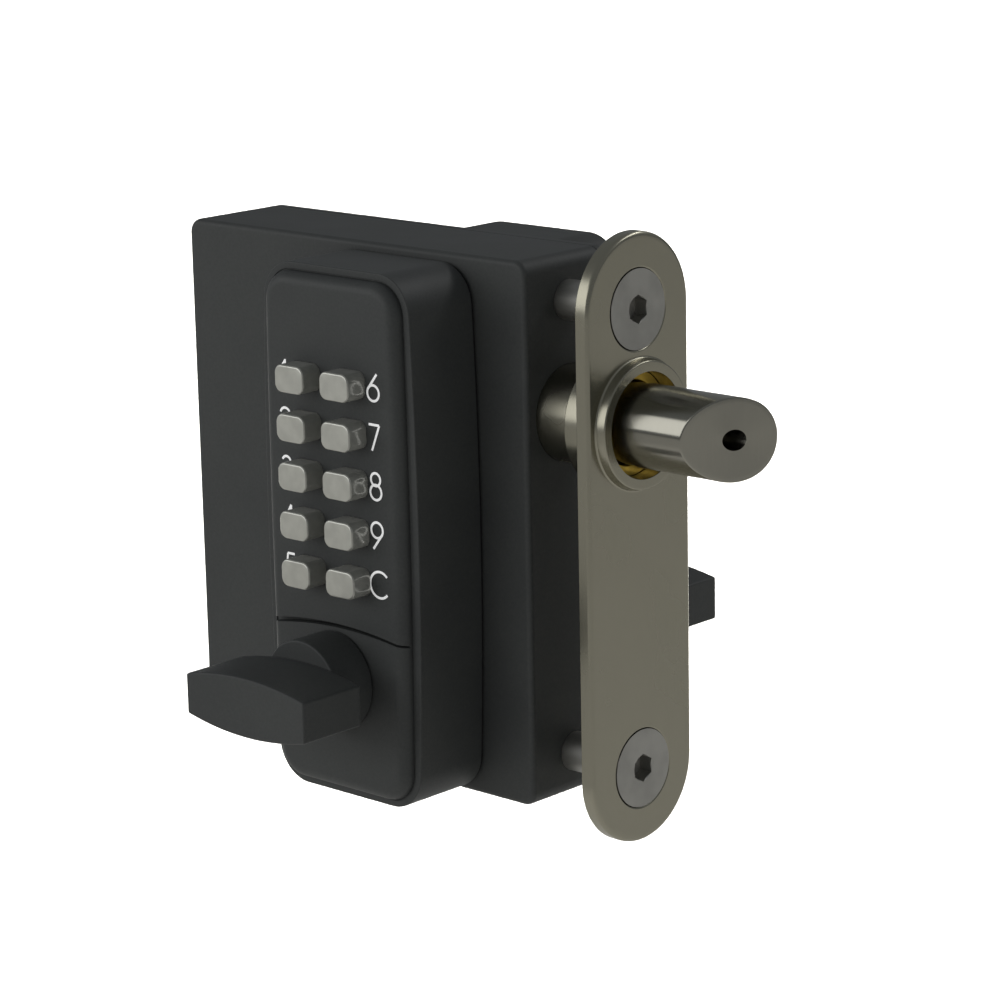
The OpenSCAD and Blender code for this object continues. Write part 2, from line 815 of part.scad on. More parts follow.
module code_chamber() {
    slot_y0 = slide_y - slide_play;
    slot_y1 = slide_y + slide_t + slide_play;
    lug_z = spring_window_z + lug_lift;
    window_top = spring_window_z + spring_window_h;
    color("#8f8f8a") difference() {
        translate([pad_x - chamber_w / 2, chamber_front, chamber_bottom])
            cube([chamber_w, plate_y - chamber_front, chamber_top - chamber_bottom]);
        difference() {
            union() {
                translate([pad_x - slide_w / 2 - slide_play, slot_y0, chamber_bottom - over])
                    cube([slide_w + 2 * slide_play, slot_y1 - slot_y0,
                        slide_top + slide_play - chamber_bottom + over]);
                translate([pad_x - spring_window_w / 2, slot_y0 - pocket_reach, lug_z])
                    cube([spring_window_w, slot_y1 - slot_y0 + 2 * pocket_reach,
                        window_top - lug_z]);
            }
            translate([pad_x - lug_w / 2, slot_y0 - over, lug_z])
                cube([lug_w, slot_y1 - slot_y0 + over + 2 * pocket_reach, lug_h]);
        }
        for (i = [0 : 9]) let (p = button_place(i)) translate([p[0], 0, p[1]])
            bar_y(stem_d + 2 * run, chamber_front - over, stem_end + button_travel + free);
        at_chamber_screws()
            bar_y(chamber_screw_d + 2 * seat, pad_back - chamber_screw_l - seat, plate_y + over);
    }
}

module chamber_screws() {
    color("silver") at_chamber_screws() {
        bar_y(chamber_screw_d, pad_back - chamber_screw_l, pad_back - chamber_screw_head_h + bite);
        cone_y(chamber_screw_d, chamber_screw_head_d, pad_back - chamber_screw_head_h, pad_back);
    }
}

module code_slide() {
    color("silver") difference() {
        union() {
            translate([pad_x - slide_w / 2, slide_y, slide_bottom])
                cube([slide_w, slide_t, slide_top - slide_bottom]);
            translate([pad_x - tail_w / 2, slide_y, shoe_z])
                cube([tail_w, slide_t, slide_bottom - shoe_z + bite]);
            translate([pad_x - shoe_w / 2, driver_y + free, shoe_z])
                cube([shoe_w, slide_y + slide_t - driver_y - free, shoe_h]);
        }
        for (i = [0 : 9]) let (p = button_place(i))
            translate([p[0] - window_w / 2, slide_y - over, p[1] - window_w / 2])
                cube([window_w, slide_t + 2 * over, window_w + slide_travel]);
        translate([pad_x - spring_window_w / 2, slide_y - over, spring_window_z])
            cube([spring_window_w, slide_t + 2 * over, spring_window_h]);
    }
}

module slide_spring() {
    start = spring_window_z + lug_lift + lug_h + free + slide_spring_wire / 2;
    end = spring_window_z + spring_window_h - free - slide_spring_wire / 2;
    echo(slide_spring_gap = coil_gap(slide_spring_r, end - start, slide_spring_turns,
        slide_spring_wire));
    color("gray") translate([pad_x, slide_y + slide_t / 2, start])
        coil(slide_spring_r, slide_spring_wire, end - start, slide_spring_turns);
}

module button(i) {
    p = button_place(i);
    flange_y = inner_face + 2 * run;
    color("#a3a39c") {
        along_y(face_y - button_out, flange_y + bite) translate(p)
            rounded(button_w, button_h, button_corner);
        along_y(flange_y, flange_y + button_flange_t) translate(p)
            rounded(button_w + 2 * flange_over, button_h + 2 * flange_over, button_corner);
        translate([p[0], 0, p[1]]) bar_y(stem_d, flange_y, stem_end);
    }
}

module button_springs() {
    start = inner_face + 2 * run + button_flange_t + free + button_spring_wire / 2;
    length = chamber_front - free - button_spring_wire / 2 - start;
    echo(button_spring_gap = coil_gap(button_spring_r, length, button_spring_turns,
        button_spring_wire));
    color("gray") for (i = [0 : 9]) let (p = button_place(i))
        translate([p[0], start, p[1]]) rotate([-90, 0, 0])
            coil(button_spring_r, button_spring_wire, length, button_spring_turns);
}

module front_knob() {
    color("#3f4142") at_knob() {
        knob_body(knob_l, knob_mid_h, knob_end_h, knob_base_l, neck_end);
        square_hole(spindle_w, neck_end - bite, neck_end + driver_t);
    }
}

module knob_driver() {
    color("#8f8f8a") at_knob() difference() {
        bar_y(driver_d, driver_y, driver_y + driver_t);
        square_hole(spindle_w + 2 * spindle_play, driver_y - over, driver_y + driver_t + over);
        translate([0, driver_y + driver_t / 2, driver_d / 2 + ball_out - ball_d - seat])
            cylinder(d = ball_d + 2 * run, h = ball_d + over);
    }
}

module clutch_ball() {
    color("white") at_knob()
        translate([0, driver_y + driver_t / 2, driver_d / 2 + ball_out - ball_d / 2])
            sphere(d = ball_d);
}

module rear_gasket() {
    color("#202020") mirror([0, 1, 0]) pad_gasket();
}

module rear_plate() {
    color("silver") mirror([0, 1, 0]) pad_plate();
}

module rear_housing() {
    cone_h = (fixing_head_d - fixing_d) / 2;
    color("#37393a") mirror([0, 1, 0]) difference() {
        pad_shell();
        at_fixings() {
            bar_y(fixing_hole_d, face_y - over, plate_y + over);
            cone_y(fixing_head_d + 2 * head_ring, fixing_d, face_y, face_y + cone_h + head_ring);
        }
    }
}

module through_bolts() {
    cone_h = (fixing_head_d - fixing_d) / 2;
    color("#6c6c68") at_fixings() difference() {
        union() {
            bar_y(fixing_d, plate_y - fixing_reach, rear_face - cone_h + bite);
            cone_y(fixing_d, fixing_head_d, rear_face - cone_h, rear_face);
        }
        translate([0, rear_face - cone_h, 0]) rotate([-90, 0, 0])
            cylinder(d = fixing_d / 2 / cos(30), h = cone_h + over, $fn = 6);
    }
}

module rear_knob() {
    color("#3f4142") mirror([0, 1, 0]) at_knob() difference() {
        knob_body(rear_knob_l, rear_mid_h, rear_end_h, rear_base_l, -rear_neck_end);
        square_hole(spindle_w + 2 * spindle_play, -rear_socket, over - rear_neck_end);
    }
}

lock_case();
case_cover();
cover_screws();
guide_tube();
bolt_bush();
forend_plate();
forend_screws();
spindle_bush(-1, case_wall);  // front_bush
spindle_bush(1, cover_t);  // rear_bush
spring_rod();
bolt_spring();
bolt();
bolt_carriage();
carriage_pin();
follower();
drive_pin();
drive_roller();
front_spindle();
clutch_hub();
rear_spindle();
keypad_gasket();
keypad_plate();
keypad_housing();
code_chamber();
chamber_screws();
code_slide();
slide_spring();
button_springs();
front_knob();
circlip();  // front_circlip
knob_driver();
clutch_ball();
rear_gasket();
rear_plate();
rear_housing();
through_bolts();
rear_knob();
mirror([0, 1, 0]) circlip();  // rear_circlip
button(0);  // button_1
button(1);  // button_2
button(2);  // button_3
button(3);  // button_4
button(4);  // button_5
button(5);  // button_6
button(6);  // button_7
button(7);  // button_8
button(8);  // button_9
button(9);  // button_c
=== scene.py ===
"""Looks of the keypad gate lock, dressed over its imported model.

The mesh code works in millimetres; each finished piece is scaled to metres. +X runs out of the gate
along the bolt, +Y to the back of the gate and +Z up. "Depth" is the distance from the gate's middle
plane, so one function makes both the front piece (side -1) and its twin behind (side +1).
"""

import math
from types import SimpleNamespace

import bmesh
import bpy
from mathutils import Matrix, Vector


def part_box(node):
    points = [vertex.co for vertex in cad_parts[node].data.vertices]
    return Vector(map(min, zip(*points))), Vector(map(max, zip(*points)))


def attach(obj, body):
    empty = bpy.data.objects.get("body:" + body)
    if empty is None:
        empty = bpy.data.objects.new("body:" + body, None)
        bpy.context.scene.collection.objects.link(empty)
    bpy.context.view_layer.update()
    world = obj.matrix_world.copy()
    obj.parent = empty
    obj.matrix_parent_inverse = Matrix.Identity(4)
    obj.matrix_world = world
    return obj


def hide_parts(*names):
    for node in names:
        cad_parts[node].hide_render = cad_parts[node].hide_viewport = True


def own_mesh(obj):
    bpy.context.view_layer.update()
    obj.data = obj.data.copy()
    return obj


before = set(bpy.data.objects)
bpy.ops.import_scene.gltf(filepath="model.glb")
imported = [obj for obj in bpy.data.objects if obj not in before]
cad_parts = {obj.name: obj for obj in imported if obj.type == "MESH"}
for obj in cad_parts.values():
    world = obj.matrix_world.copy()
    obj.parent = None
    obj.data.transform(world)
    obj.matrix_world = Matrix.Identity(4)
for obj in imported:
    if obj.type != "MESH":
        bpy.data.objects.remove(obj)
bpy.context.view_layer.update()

bl_info = {
    "name": "Keypad gate lock",
    "version": (1, 0, 0),
    "blender": (4, 5, 0),
    "location": "View3D > Sidebar > Gate lock",
    "description": "Builds the castings, knobs, buttons, case, bolt and finishes of a keypad gate lock",
    "category": "Add Mesh",
}

MM = 0.001
FRONT = -1
REAR = 1
DIGITS = ("1", "2", "3", "4", "5", "6", "7", "8", "9", "c")
# Edges between faces that meet at more than this stay crisp
CRISP_ANGLE = math.radians(32)
TURNED_SIDES = 96
HOLE_SIDES = 48
FINE_SIDES = 128
# Steps of a rounding that the camera sees from near
FINE_STEPS = 6
# Fine measures in millimetres: how near points are welded, how far a cutter runs past the face
# that it opens, how deep a joined solid sinks into its neighbour, the play of a hole and of a close
# fit, and a burr's rounding
WELD = 0.0005
OVER = 1.0
BITE = 0.5
PLAY = 0.03
CLOSE = 0.05
BURR = 0.2


def linear(code):
    """An sRGB hex colour as linear red, green and blue."""
    channels = [int(code[i:i + 2], 16) / 255 for i in (1, 3, 5)]
    return [c / 12.92 if c <= 0.04045 else ((c + 0.055) / 1.055) ** 2.4 for c in channels]


def length(name, millimetres, description):
    """A length that the user may change."""
    return bpy.props.FloatProperty(
        name=name, description=description, default=millimetres * MM, min=0.0,
        unit="LENGTH", precision=5)


def colour(name, code, description):
    """A colour that the user may change."""
    return bpy.props.FloatVectorProperty(
        name=name, description=description, default=linear(code), min=0.0, max=1.0,
        size=3, subtype="COLOR")


def node_box(node):
    """A node's lowest and highest corners, in millimetres."""
    low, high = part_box(node)
    return low / MM, high / MM


class CastingSizes(bpy.types.PropertyGroup):
    """Both units' castings."""

    bow: length("Side bow", 1.5, "How far each long side bows out")
    corner: length("Corner radius", 8.0, "Radius of the four corners")
    pillar_end: length("Pillar end", 3.0, "How far the pillars' ends lie behind the face")
    rim: length("Rim width", 1.6, "Width of the flat rim round the cushioned face")
    side_rim: length("Side rim", 0.8, "Extra width of the rim in the middle of the long sides")
    rise: length("Cushion rise", 2.5, "Height of the cushioned face over the rim")
    wall: length("Side wall", 3.0, "Thickness of the side wall")
    face_wall: length("Face wall", 3.5, "Thickness behind the cushioned face")
    rim_edge: length("Rim edge", 0.25, "Rounding of the rim's outer edge")
    foot: length("Foot line", 0.25, "Width of the fine step at the cushion's foot")
    hole_edge: length("Hole edge", 0.03, "Rounding at the mouth of each button hole")
    hole_play: length("Button play", 0.04, "Gap between a button and its hole")
    neck: length("Knob bore", 14.1, "Bore for the knob's neck")
    pillar: length("Pillar", 9.0, "Diameter of the pillars that take the through bolts")
    arc_reach: length("Arc reach", 22.0, "How far the arc's cutter reaches to each side")
    arc_radius: length("Arc radius", 99.5, "Radius of the engraved arc over the front knob")
    arc_crown: length("Arc crown", 11.55, "Height of the arc's upper edge above the knob's axis")
    arc_width: length("Arc width", 0.8, "Width of the arc at its crown")
    arc_depth: length("Arc depth", 2.2, "Depth of the engraved arc")
    arc_taper: bpy.props.FloatProperty(
        name="Arc taper", description="Angle between the arc's two edges",
        default=math.radians(0.95), unit="ROTATION")


class ButtonSizes(bpy.types.PropertyGroup):
    """The ten buttons and the painted digits beside them."""

    width: length("Width", 7.9, "Width of a button")
    height: length("Height", 5.6, "Height of a button")
    corner: length("Corner radius", 1.8, "Radius of a button's four corners")
    edge: length("Face edge", 0.4, "Rounding round a button's face")
    flange: length("Flange", 0.7, "How far the hidden flange stands out")
    flange_depth: length("Flange thickness", 1.0, "Thickness of the hidden flange")
    stem: length("Stem", 4.0, "Diameter of the stem")
    digit_shift: length("Digit shift", 6.15, "Distance of a digit's middle from its button's middle")
    digit_height: length("Digit height", 5.4, "Height of a digit")
    stroke: length("Stroke", 0.5, "Width of a digit's stroke")
    paint: length("Paint thickness", 0.08, "Thickness of the paint on the casting")


class KnobSizes(bpy.types.PropertyGroup):
    """The front and the rear knob."""

    front_mid: length("Front grip height", 12.1, "Height of the front grip in its middle")
    front_end: length("Front grip ends", 8.2, "Height of the front grip at its ends")
    rear_mid: length("Rear grip height", 13.4, "Height of the rear grip in its middle")
    rear_end: length("Rear grip ends", 9.2, "Height of the rear grip at its ends")
    front_length: length("Front grip length", 33.0, "Length of the front grip")
    rear_length: length("Rear grip length", 40.0, "Length of the rear grip")
    grip_depth: length("Grip depth", 15.5, "Depth of both grips")
    base: length("Base", 20.2, "Diameter of the round base")
    neck: length("Neck", 14.0, "Diameter of the neck")
    clip_groove: length("Clip groove", 12.6, "Diameter at the bottom of the retaining ring's groove")
    edge: length("Grip edge", 0.4, "Rounding of the grip's edges")
    gap: length("Gap", 0.3, "Gap between the base and the casting")
    square: length("Square", 7.0, "Size of the square drive across the flats")
    tenon: length("Tenon", 4.0, "Length of the front knob's square tenon")
    socket: length("Socket", 9.0, "Depth of the rear knob's square socket")


class CaseSizes(bpy.types.PropertyGroup):
    """The lock case, its cover, the gaskets and the screws of the cover."""

    wall: length("Wall", 2.5, "Wall of the case")
    corner: length("Corner radius", 3.0, "Radius of the case's corners")
    front_edge: length("Front edge", 1.1, "Rounding round the front wall")
    cover_edge: length("Cover edge", 0.7, "Rounding round the cover")
    seam: length("Seam", 0.25, "Bevel along the joint between case and cover")
    post: length("Post", 9.0, "Diameter of the screw posts")
    boss: length("Boss", 14.0, "Width and height of the two bosses for the forend screws")
    bush: length("Spindle bush", 20.0, "Diameter of the two spindle bushes")
    rod: length("Spring rod", 5.0, "Diameter of the bolt spring's rod")
    tube_block: length("Tube block", 26.0, "Height of the block that the guide tube screws into")
    rib_length: length("Rib length", 26.0, "How far both guide ribs reach past the carriage")
    rib_height: length("Rib height", 8.0, "Height of the guide ribs")
    rib_gap: length("Rib gap", 0.3, "Gap between a rib and what it guides")
    tap_depth: length("Tapped depth", 10.0, "Depth of the tapped holes in the posts")
    screw: length("Cover screw", 4.0, "Diameter of the cover screws")
    screw_head: length("Cover screw head", 7.5, "Diameter of their flush heads")
    fixing_hole: length("Fixing hole", 5.4, "Clearance hole for the through bolts")
    fixing: length("Through bolt", 5.0, "Diameter of the through bolts")
    fixing_head: length("Through bolt head", 10.0, "Diameter of their flush heads")


class ForendSizes(bpy.types.PropertyGroup):
    """The forend plate, its screws, the guide tube and its bush."""

    edge: length("Plate edge", 0.9, "Rounding round the plate's outer face")
    screw: length("Screw", 8.0, "Diameter of the two screws")
    screw_head: length("Screw head", 16.0, "Diameter of their flush heads")
    thread: length("Thread", 7.5, "Diameter of the part that holds in the case")
    socket: length("Socket", 5.0, "Hexagon socket across the flats")
    socket_depth: length("Socket depth", 3.0, "Depth of the hexagon socket")
    head_gap: length("Head gap", 0.25, "Gap round a screw's head")
    collar: length("Collar", 26.0, "Diameter of the collar round the bolt")
    collar_bore: length("Collar bore", 21.0, "Bore of the collar")
    collar_taper: length("Collar taper", 0.45, "How much its radius shrinks towards its front")
    collar_lip: length("Collar lip", 0.25, "Rounding of the collar's front edge")
    collar_foot: length("Collar foot", 0.3, "Fillet between the collar and the plate")
    tube: length("Tube", 19.6, "Diameter of the tube inside the case")


class BoltSizes(bpy.types.PropertyGroup):
    """The round bolt."""

    bevel: bpy.props.FloatProperty(
        name="Bevel", description="Angle of the bevelled end, at the bolt's axis",
        default=math.radians(31.5), unit="ROTATION")
    nose: length("Nose radius", 42.0, "Radius of the bevelled end's curve")
    edge: length("End edge", 0.25, "Rounding round the bevelled end")
    relief: length("Relief", 0.2, "How much thinner, in radius, the bolt is behind the collar's face")
    hole: length("End hole", 4.1, "Diameter of the hole in the bolt's end")
    hole_depth: length("End hole depth", 8.0, "Depth of that hole")
    slot: length("Slot", 4.1, "Width of the slot for the carriage")
    pin: length("Pin", 4.06, "Diameter of the cross hole")


class SpringSizes(bpy.types.PropertyGroup):
    """The coil springs."""

    bolt_wire: length("Bolt spring wire", 1.4, "Wire of the bolt spring")
    bolt_turns: bpy.props.FloatProperty(
        name="Bolt spring turns", description="Turns of the bolt spring", default=13.0)
    slide_wire: length("Slide spring wire", 0.6, "Wire of the code slide's spring")
    slide_turns: bpy.props.FloatProperty(
        name="Slide spring turns", description="Turns of the code slide's spring", default=5.0)
    button_wire: length("Button spring wire", 0.6, "Wire of the button springs")
    button_turns: bpy.props.FloatProperty(
        name="Button spring turns", description="Turns of each button spring", default=3.0)


class FinishColours(bpy.types.PropertyGroup):
    """Colours of the finishes."""

    coat: colour("Powder coat", "#3e4040", "Charcoal powder coat on castings, case and knobs")
    coat_light: colour("Powder coat peaks", "#454746", "The coat where its grain catches light")
    forend: colour("Forend steel", "#9f9c8d", "Satin stainless steel of the plate and the collar")
    forend_dark: colour("Forend grain", "#9a9788", "Darker lines of its grain")
    bolt: colour("Bolt steel", "#9b998f", "Ground stainless steel bar")
    screw: colour("Screw steel", "#b0afaa", "Bead-blasted stainless steel")
    button: colour("Button nickel", "#c9c9c1", "Satin nickel plate")
    brass: colour("Brass", "#d2b251", "Turned brass")
    zinc: colour("Zinc plate", "#b9bcbf", "Bright zinc plate")
    die_cast: colour("Die-cast zinc", "#8f9294", "Raw die-cast zinc")
    spring: colour("Spring wire", "#9a9da0", "Bright spring wire")
    rubber: colour("Rubber", "#161717", "Moulded black rubber")
    paint: colour("Digit paint", "#ffffff", "White digit paint")
    floor: colour("Floor", "#dedcd8", "Pale studio floor")


class LockSettings(bpy.types.PropertyGroup):
    """All sizes and colours of the lock."""

    casting: bpy.props.PointerProperty(type=CastingSizes)
    button: bpy.props.PointerProperty(type=ButtonSizes)
    knob: bpy.props.PointerProperty(type=KnobSizes)
    case: bpy.props.PointerProperty(type=CaseSizes)
    forend: bpy.props.PointerProperty(type=ForendSizes)
    bolt: bpy.props.PointerProperty(type=BoltSizes)
    spring: bpy.props.PointerProperty(type=SpringSizes)
    colours: bpy.props.PointerProperty(type=FinishColours)


def sizes_of(group):
    """A group's values by name, with its lengths in millimetres."""
    values = SimpleNamespace()
    for name in type(group).__annotations__:
        value = getattr(group, name)
        is_length = group.bl_rna.properties[name].unit == "LENGTH"
        setattr(values, name, value / MM if is_length else value)
    return values


def settings():
    return bpy.context.scene.gate_lock


# Outlines, as points of (across, up)


def arc(centre, radius, start, end, steps):
    """Points along an arc, both ends included, with its angles in degrees."""
    angles = [math.radians(start + (end - start) * i / steps) for i in range(steps + 1)]
    return [(centre[0] + radius * math.cos(a), centre[1] + radius * math.sin(a)) for a in angles]


def circle_outline(radius, sides=TURNED_SIDES):
    return arc((0, 0), radius, 0, 360 * (sides - 1) / sides, sides - 1)


def box_outline(width, height, corner, steps=8):
    """Rectangle with round corners, centred."""
    points = []
    for turn, (side, top) in enumerate(((1, 1), (-1, 1), (-1, -1), (1, -1))):
        centre = (side * (width / 2 - corner), top * (height / 2 - corner))
        points += arc(centre, corner, 90 * turn, 90 * turn + 90, steps)
    return points


def stadium_outline(width, height, steps=36):
    """Upright outline with two half-round ends."""
    middle = (height - width) / 2
    return arc((0, middle), width / 2, 0, 180, steps) + arc((0, -middle), width / 2, 180, 360, steps)


def casting_outline(sizes, width, height, inset, side_steps=16, corner_steps=14):
    """Outline of both units: bowed long sides, round corners and straight ends."""
    side_radius = (height * height / 4 + sizes.bow ** 2) / (2 * sizes.bow)
    corner_z = height / 2 - sizes.corner
    lean = math.degrees(math.asin(corner_z / (side_radius - sizes.corner)))
    corner_x = (side_radius - sizes.corner) * math.cos(math.radians(lean)) - side_radius + width / 2
    side_centre = width / 2 - side_radius
    points = []
    for side, turn in ((1, 0), (-1, 180)):
        centre = (side * side_centre, 0)
        points += arc(centre, side_radius - inset, turn - lean, turn + lean, side_steps)[:-1]
        for top, start, end in ((side, turn + lean, turn + 90), (side, turn + 90, turn + 180 - lean)):
            centre = (corner_x * (1 if end <= 90 or start >= 270 else -1), top * corner_z)
            points += arc(centre, sizes.corner - inset, start, end, corner_steps)
            if end == turn + 180 - lean:
                points.pop()
    return points


def grip_outline(span, middle, end, steps=28):
    """Side outline of a grip: two shallow arcs between two flat ends."""
    sag = (middle - end) / 2
    radius = (span * span / 4 + sag * sag) / (2 * sag)
    half_angle = math.degrees(math.asin(span / 2 / radius))
    drop = middle / 2 - radius
    upper = arc((0, drop), radius, 90 - half_angle, 90 + half_angle, steps)
    lower = arc((0, -drop), radius, 270 - half_angle, 270 + half_angle, steps)
    return upper + lower


# Solids


def soften(corners, steps=5):
    """A profile's points. A corner (along, reach, edge) is rounded over by its edge, and
    a fourth number gives the steps of that rounding."""
    points = []
    for index, corner in enumerate(corners):
        place = Vector(corner[:2])
        edge = corner[2] if len(corner) > 2 else 0
        if not edge:
            points.append(tuple(place))
            continue
        before = (Vector(corners[index - 1][:2]) - place).normalized() * edge
        after = (Vector(corners[(index + 1) % len(corners)][:2]) - place).normalized() * edge
        centre = place + before + after
        count = corner[3] if len(corner) > 3 else steps
        for i in range(count + 1):
            turn = math.pi / 2 * i / count
            points.append(tuple(centre - after * math.cos(turn) - before * math.sin(turn)))
    return points


def mouth(face, reach, edge, end):
    """Profile of a cutter for a hole with a rounded mouth."""
    rounded = soften([(face, reach + 2 * edge), (face, reach, edge), (end, reach)])
    return [(face + OVER, reach + edge)] + rounded[1:]


def countersink(face, head, hole, bevel, flare, end):
    """Profile of a cutter for a flush screw's hole, whose mouth flares over a small bevel."""
    cone = face - bevel
    return [(face + OVER, head + flare), (face, head + flare), (cone, head),
            (cone - head + hole, hole), (end, hole)]


def new_object(name, mesh):
    piece = bpy.data.objects.new(name, mesh)
    bpy.context.scene.collection.objects.link(piece)
    return piece


def loft(profile, ring_at, name="solid", closed=False):
    """Closed solid through the ring of points at each place of the profile. A profile starts and
    ends a little inside its edge, so that the flat lids don't touch the rounding."""
    shape = bmesh.new()
    loops = [[shape.verts.new(point) for point in ring_at(*place)] for place in profile]
    pairs = list(zip(loops, loops[1:]))
    if closed:
        pairs.append((loops[-1], loops[0]))
    else:
        shape.faces.new(loops[0])
        shape.faces.new(loops[-1])
    for near, far in pairs:
        for i in range(len(near)):
            shape.faces.new((near[i - 1], near[i], far[i], far[i - 1]))
    bmesh.ops.recalc_face_normals(shape, faces=shape.faces)
    mesh = bpy.data.meshes.new(name)
    shape.to_mesh(mesh)
    shape.free()
    return new_object(name, mesh)


def ring_points(outline, along, centre, axis):
    """An outline's points at a place along X or Y, round a centre."""
    if axis == "X":
        return [centre + Vector((along, a, b)) for a, b in outline]
    return [centre + Vector((a, along, b)) for a, b in outline]


def turned(profile, centre, axis, name="turned", closed=False, sides=TURNED_SIDES):
    """Solid of revolution about an axis through the centre; the profile holds (along, radius)."""
    def ring_at(along, radius):
        return ring_points(circle_outline(radius, sides), along, centre, axis)
    return loft(profile, ring_at, name, closed)


def prism(outline, near, far, centre, axis, name="prism"):
    """An outline drawn out along an axis from one plane to another."""
    def ring_at(along, _reach):
        return ring_points(outline, along, centre, axis)
    return loft([(near, 0), (far, 0)], ring_at, name)


def rod(axis, centre, start, end, radius, sides=HOLE_SIDES):
    """Cylinder along an axis, for a hole or a round post."""
    return turned([(start, radius), (end, radius)], centre, axis, sides=sides)


def block(low, high, name="block"):
    """Box between two corners."""
    middle = (Vector(low) + Vector(high)) / 2
    width, depth, height = Vector(high) - Vector(low)
    flat = [(-width / 2, -height / 2), (width / 2, -height / 2),
            (width / 2, height / 2), (-width / 2, height / 2)]
    return prism(flat, -depth / 2, depth / 2, middle, "Y", name)


def hexagon(across_flats):
    """Hexagon with a point at the top."""
    return arc((0, 0), across_flats / math.sqrt(3), 30, 330, 5)


def bake(piece):
    """Turns the piece with its modifiers into a plain mesh."""
    depsgraph = bpy.context.evaluated_depsgraph_get()
    mesh = bpy.data.meshes.new_from_object(piece.evaluated_get(depsgraph))
    piece.modifiers.clear()
    piece.data = mesh


def combine(piece, others, operation):
    """Joins the other solids to the piece, or cuts them from it, and removes them."""
    for other in others:
        step = piece.modifiers.new(operation.lower(), "BOOLEAN")
        step.operation = operation
        step.object = other
        step.solver = "EXACT"
    bake(piece)
    for other in others:
        bpy.data.objects.remove(other)
    return piece


def round_edges(piece, width, segments=4):
    """Rounds every crisp edge of the piece."""
    step = piece.modifiers.new("edges", "BEVEL")
    step.width = width
    step.segments = segments
    step.limit_method = "ANGLE"
    step.angle_limit = CRISP_ANGLE
    bake(piece)
    return piece


def place_piece(piece, name, body, look, nodes=()):
    """Scales a finished piece to metres, shades it, dresses it and hangs it on its body."""
    piece.name = name
    piece.data.name = name
    shape = bmesh.new()
    shape.from_mesh(piece.data)
    bmesh.ops.remove_doubles(shape, verts=shape.verts, dist=WELD)
    bmesh.ops.recalc_face_normals(shape, faces=shape.faces)
    shape.to_mesh(piece.data)
    shape.free()
    piece.data.transform(Matrix.Scale(MM, 4))
    piece.data.materials.clear()
    piece.data.materials.append(finish(look))
    piece.data.shade_smooth()
    piece.data.set_sharp_from_angle(angle=CRISP_ANGLE)
    step = piece.modifiers.new("shading", "WEIGHTED_NORMAL")
    step.keep_sharp = True
    bake(piece)
    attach(piece, body)
    if nodes:
        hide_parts(*nodes)
    return piece


# Node trees


def add_node(tree, kind, inputs=None, **values):
    """One node with its settings. An input that is a socket is linked, and any other is a value."""
    node = tree.nodes.new(kind)
    for name, value in values.items():
        setattr(node, name, value)
    for key, value in (inputs or {}).items():
        if isinstance(value, bpy.types.NodeSocket):
            tree.links.new(value, node.inputs[key])
        else:
            node.inputs[key].default_value = value
    return node


def new_tree(name, inputs):
    """Geometry tree with named inputs; returns it with its input node."""
    tree = bpy.data.node_groups.new(name, "GeometryNodeTree")
    for label, kind in inputs:
        tree.interface.new_socket(label, in_out="INPUT", socket_type=kind)
    tree.interface.new_socket("Geometry", in_out="OUTPUT", socket_type="NodeSocketGeometry")
    return tree, add_node(tree, "NodeGroupInput")


def run_tree(piece, tree, values):
    """Sets a tree's inputs by their identifiers, evaluates it and keeps a plain mesh."""
    step = piece.modifiers.new(tree.name, "NODES")
    step.node_group = tree
    sockets = [item for item in tree.interface.items_tree if item.item_type == "SOCKET"]
    names = {item.name: item.identifier for item in sockets if item.in_out == "INPUT"}
    for name, value in values.items():
        step[names[name]] = value
    bake(piece)
    return piece


def maths(tree, operation, first, second=0.5):
    """The result of a sum on two values, either of which may be a socket."""
    return add_node(tree, "ShaderNodeMath", {0: first, 1: second}, operation=operation).outputs[0]


def round_wire(tree, line, width, sides):
    """Mesh of a round wire along a curve."""
    half = maths(tree, "DIVIDE", width, 2.0)
    section = add_node(tree, "GeometryNodeCurvePrimitiveCircle",
                       {"Resolution": sides, "Radius": half}).outputs[0]
    return add_node(tree, "GeometryNodeCurveToMesh",
                    {"Curve": line, "Profile Curve": section, "Fill Caps": True}).outputs[0]


def end_tree(tree, shape, finish):
    """Makes the shape's copies real, gives them their finish and hands them out."""
    solid = add_node(tree, "GeometryNodeRealizeInstances", {"Geometry": shape}).outputs[0]
    dressed = add_node(tree, "GeometryNodeSetMaterial", {"Geometry": solid, "Material": finish})
    add_node(tree, "NodeGroupOutput", {"Geometry": dressed.outputs[0]})
    return tree


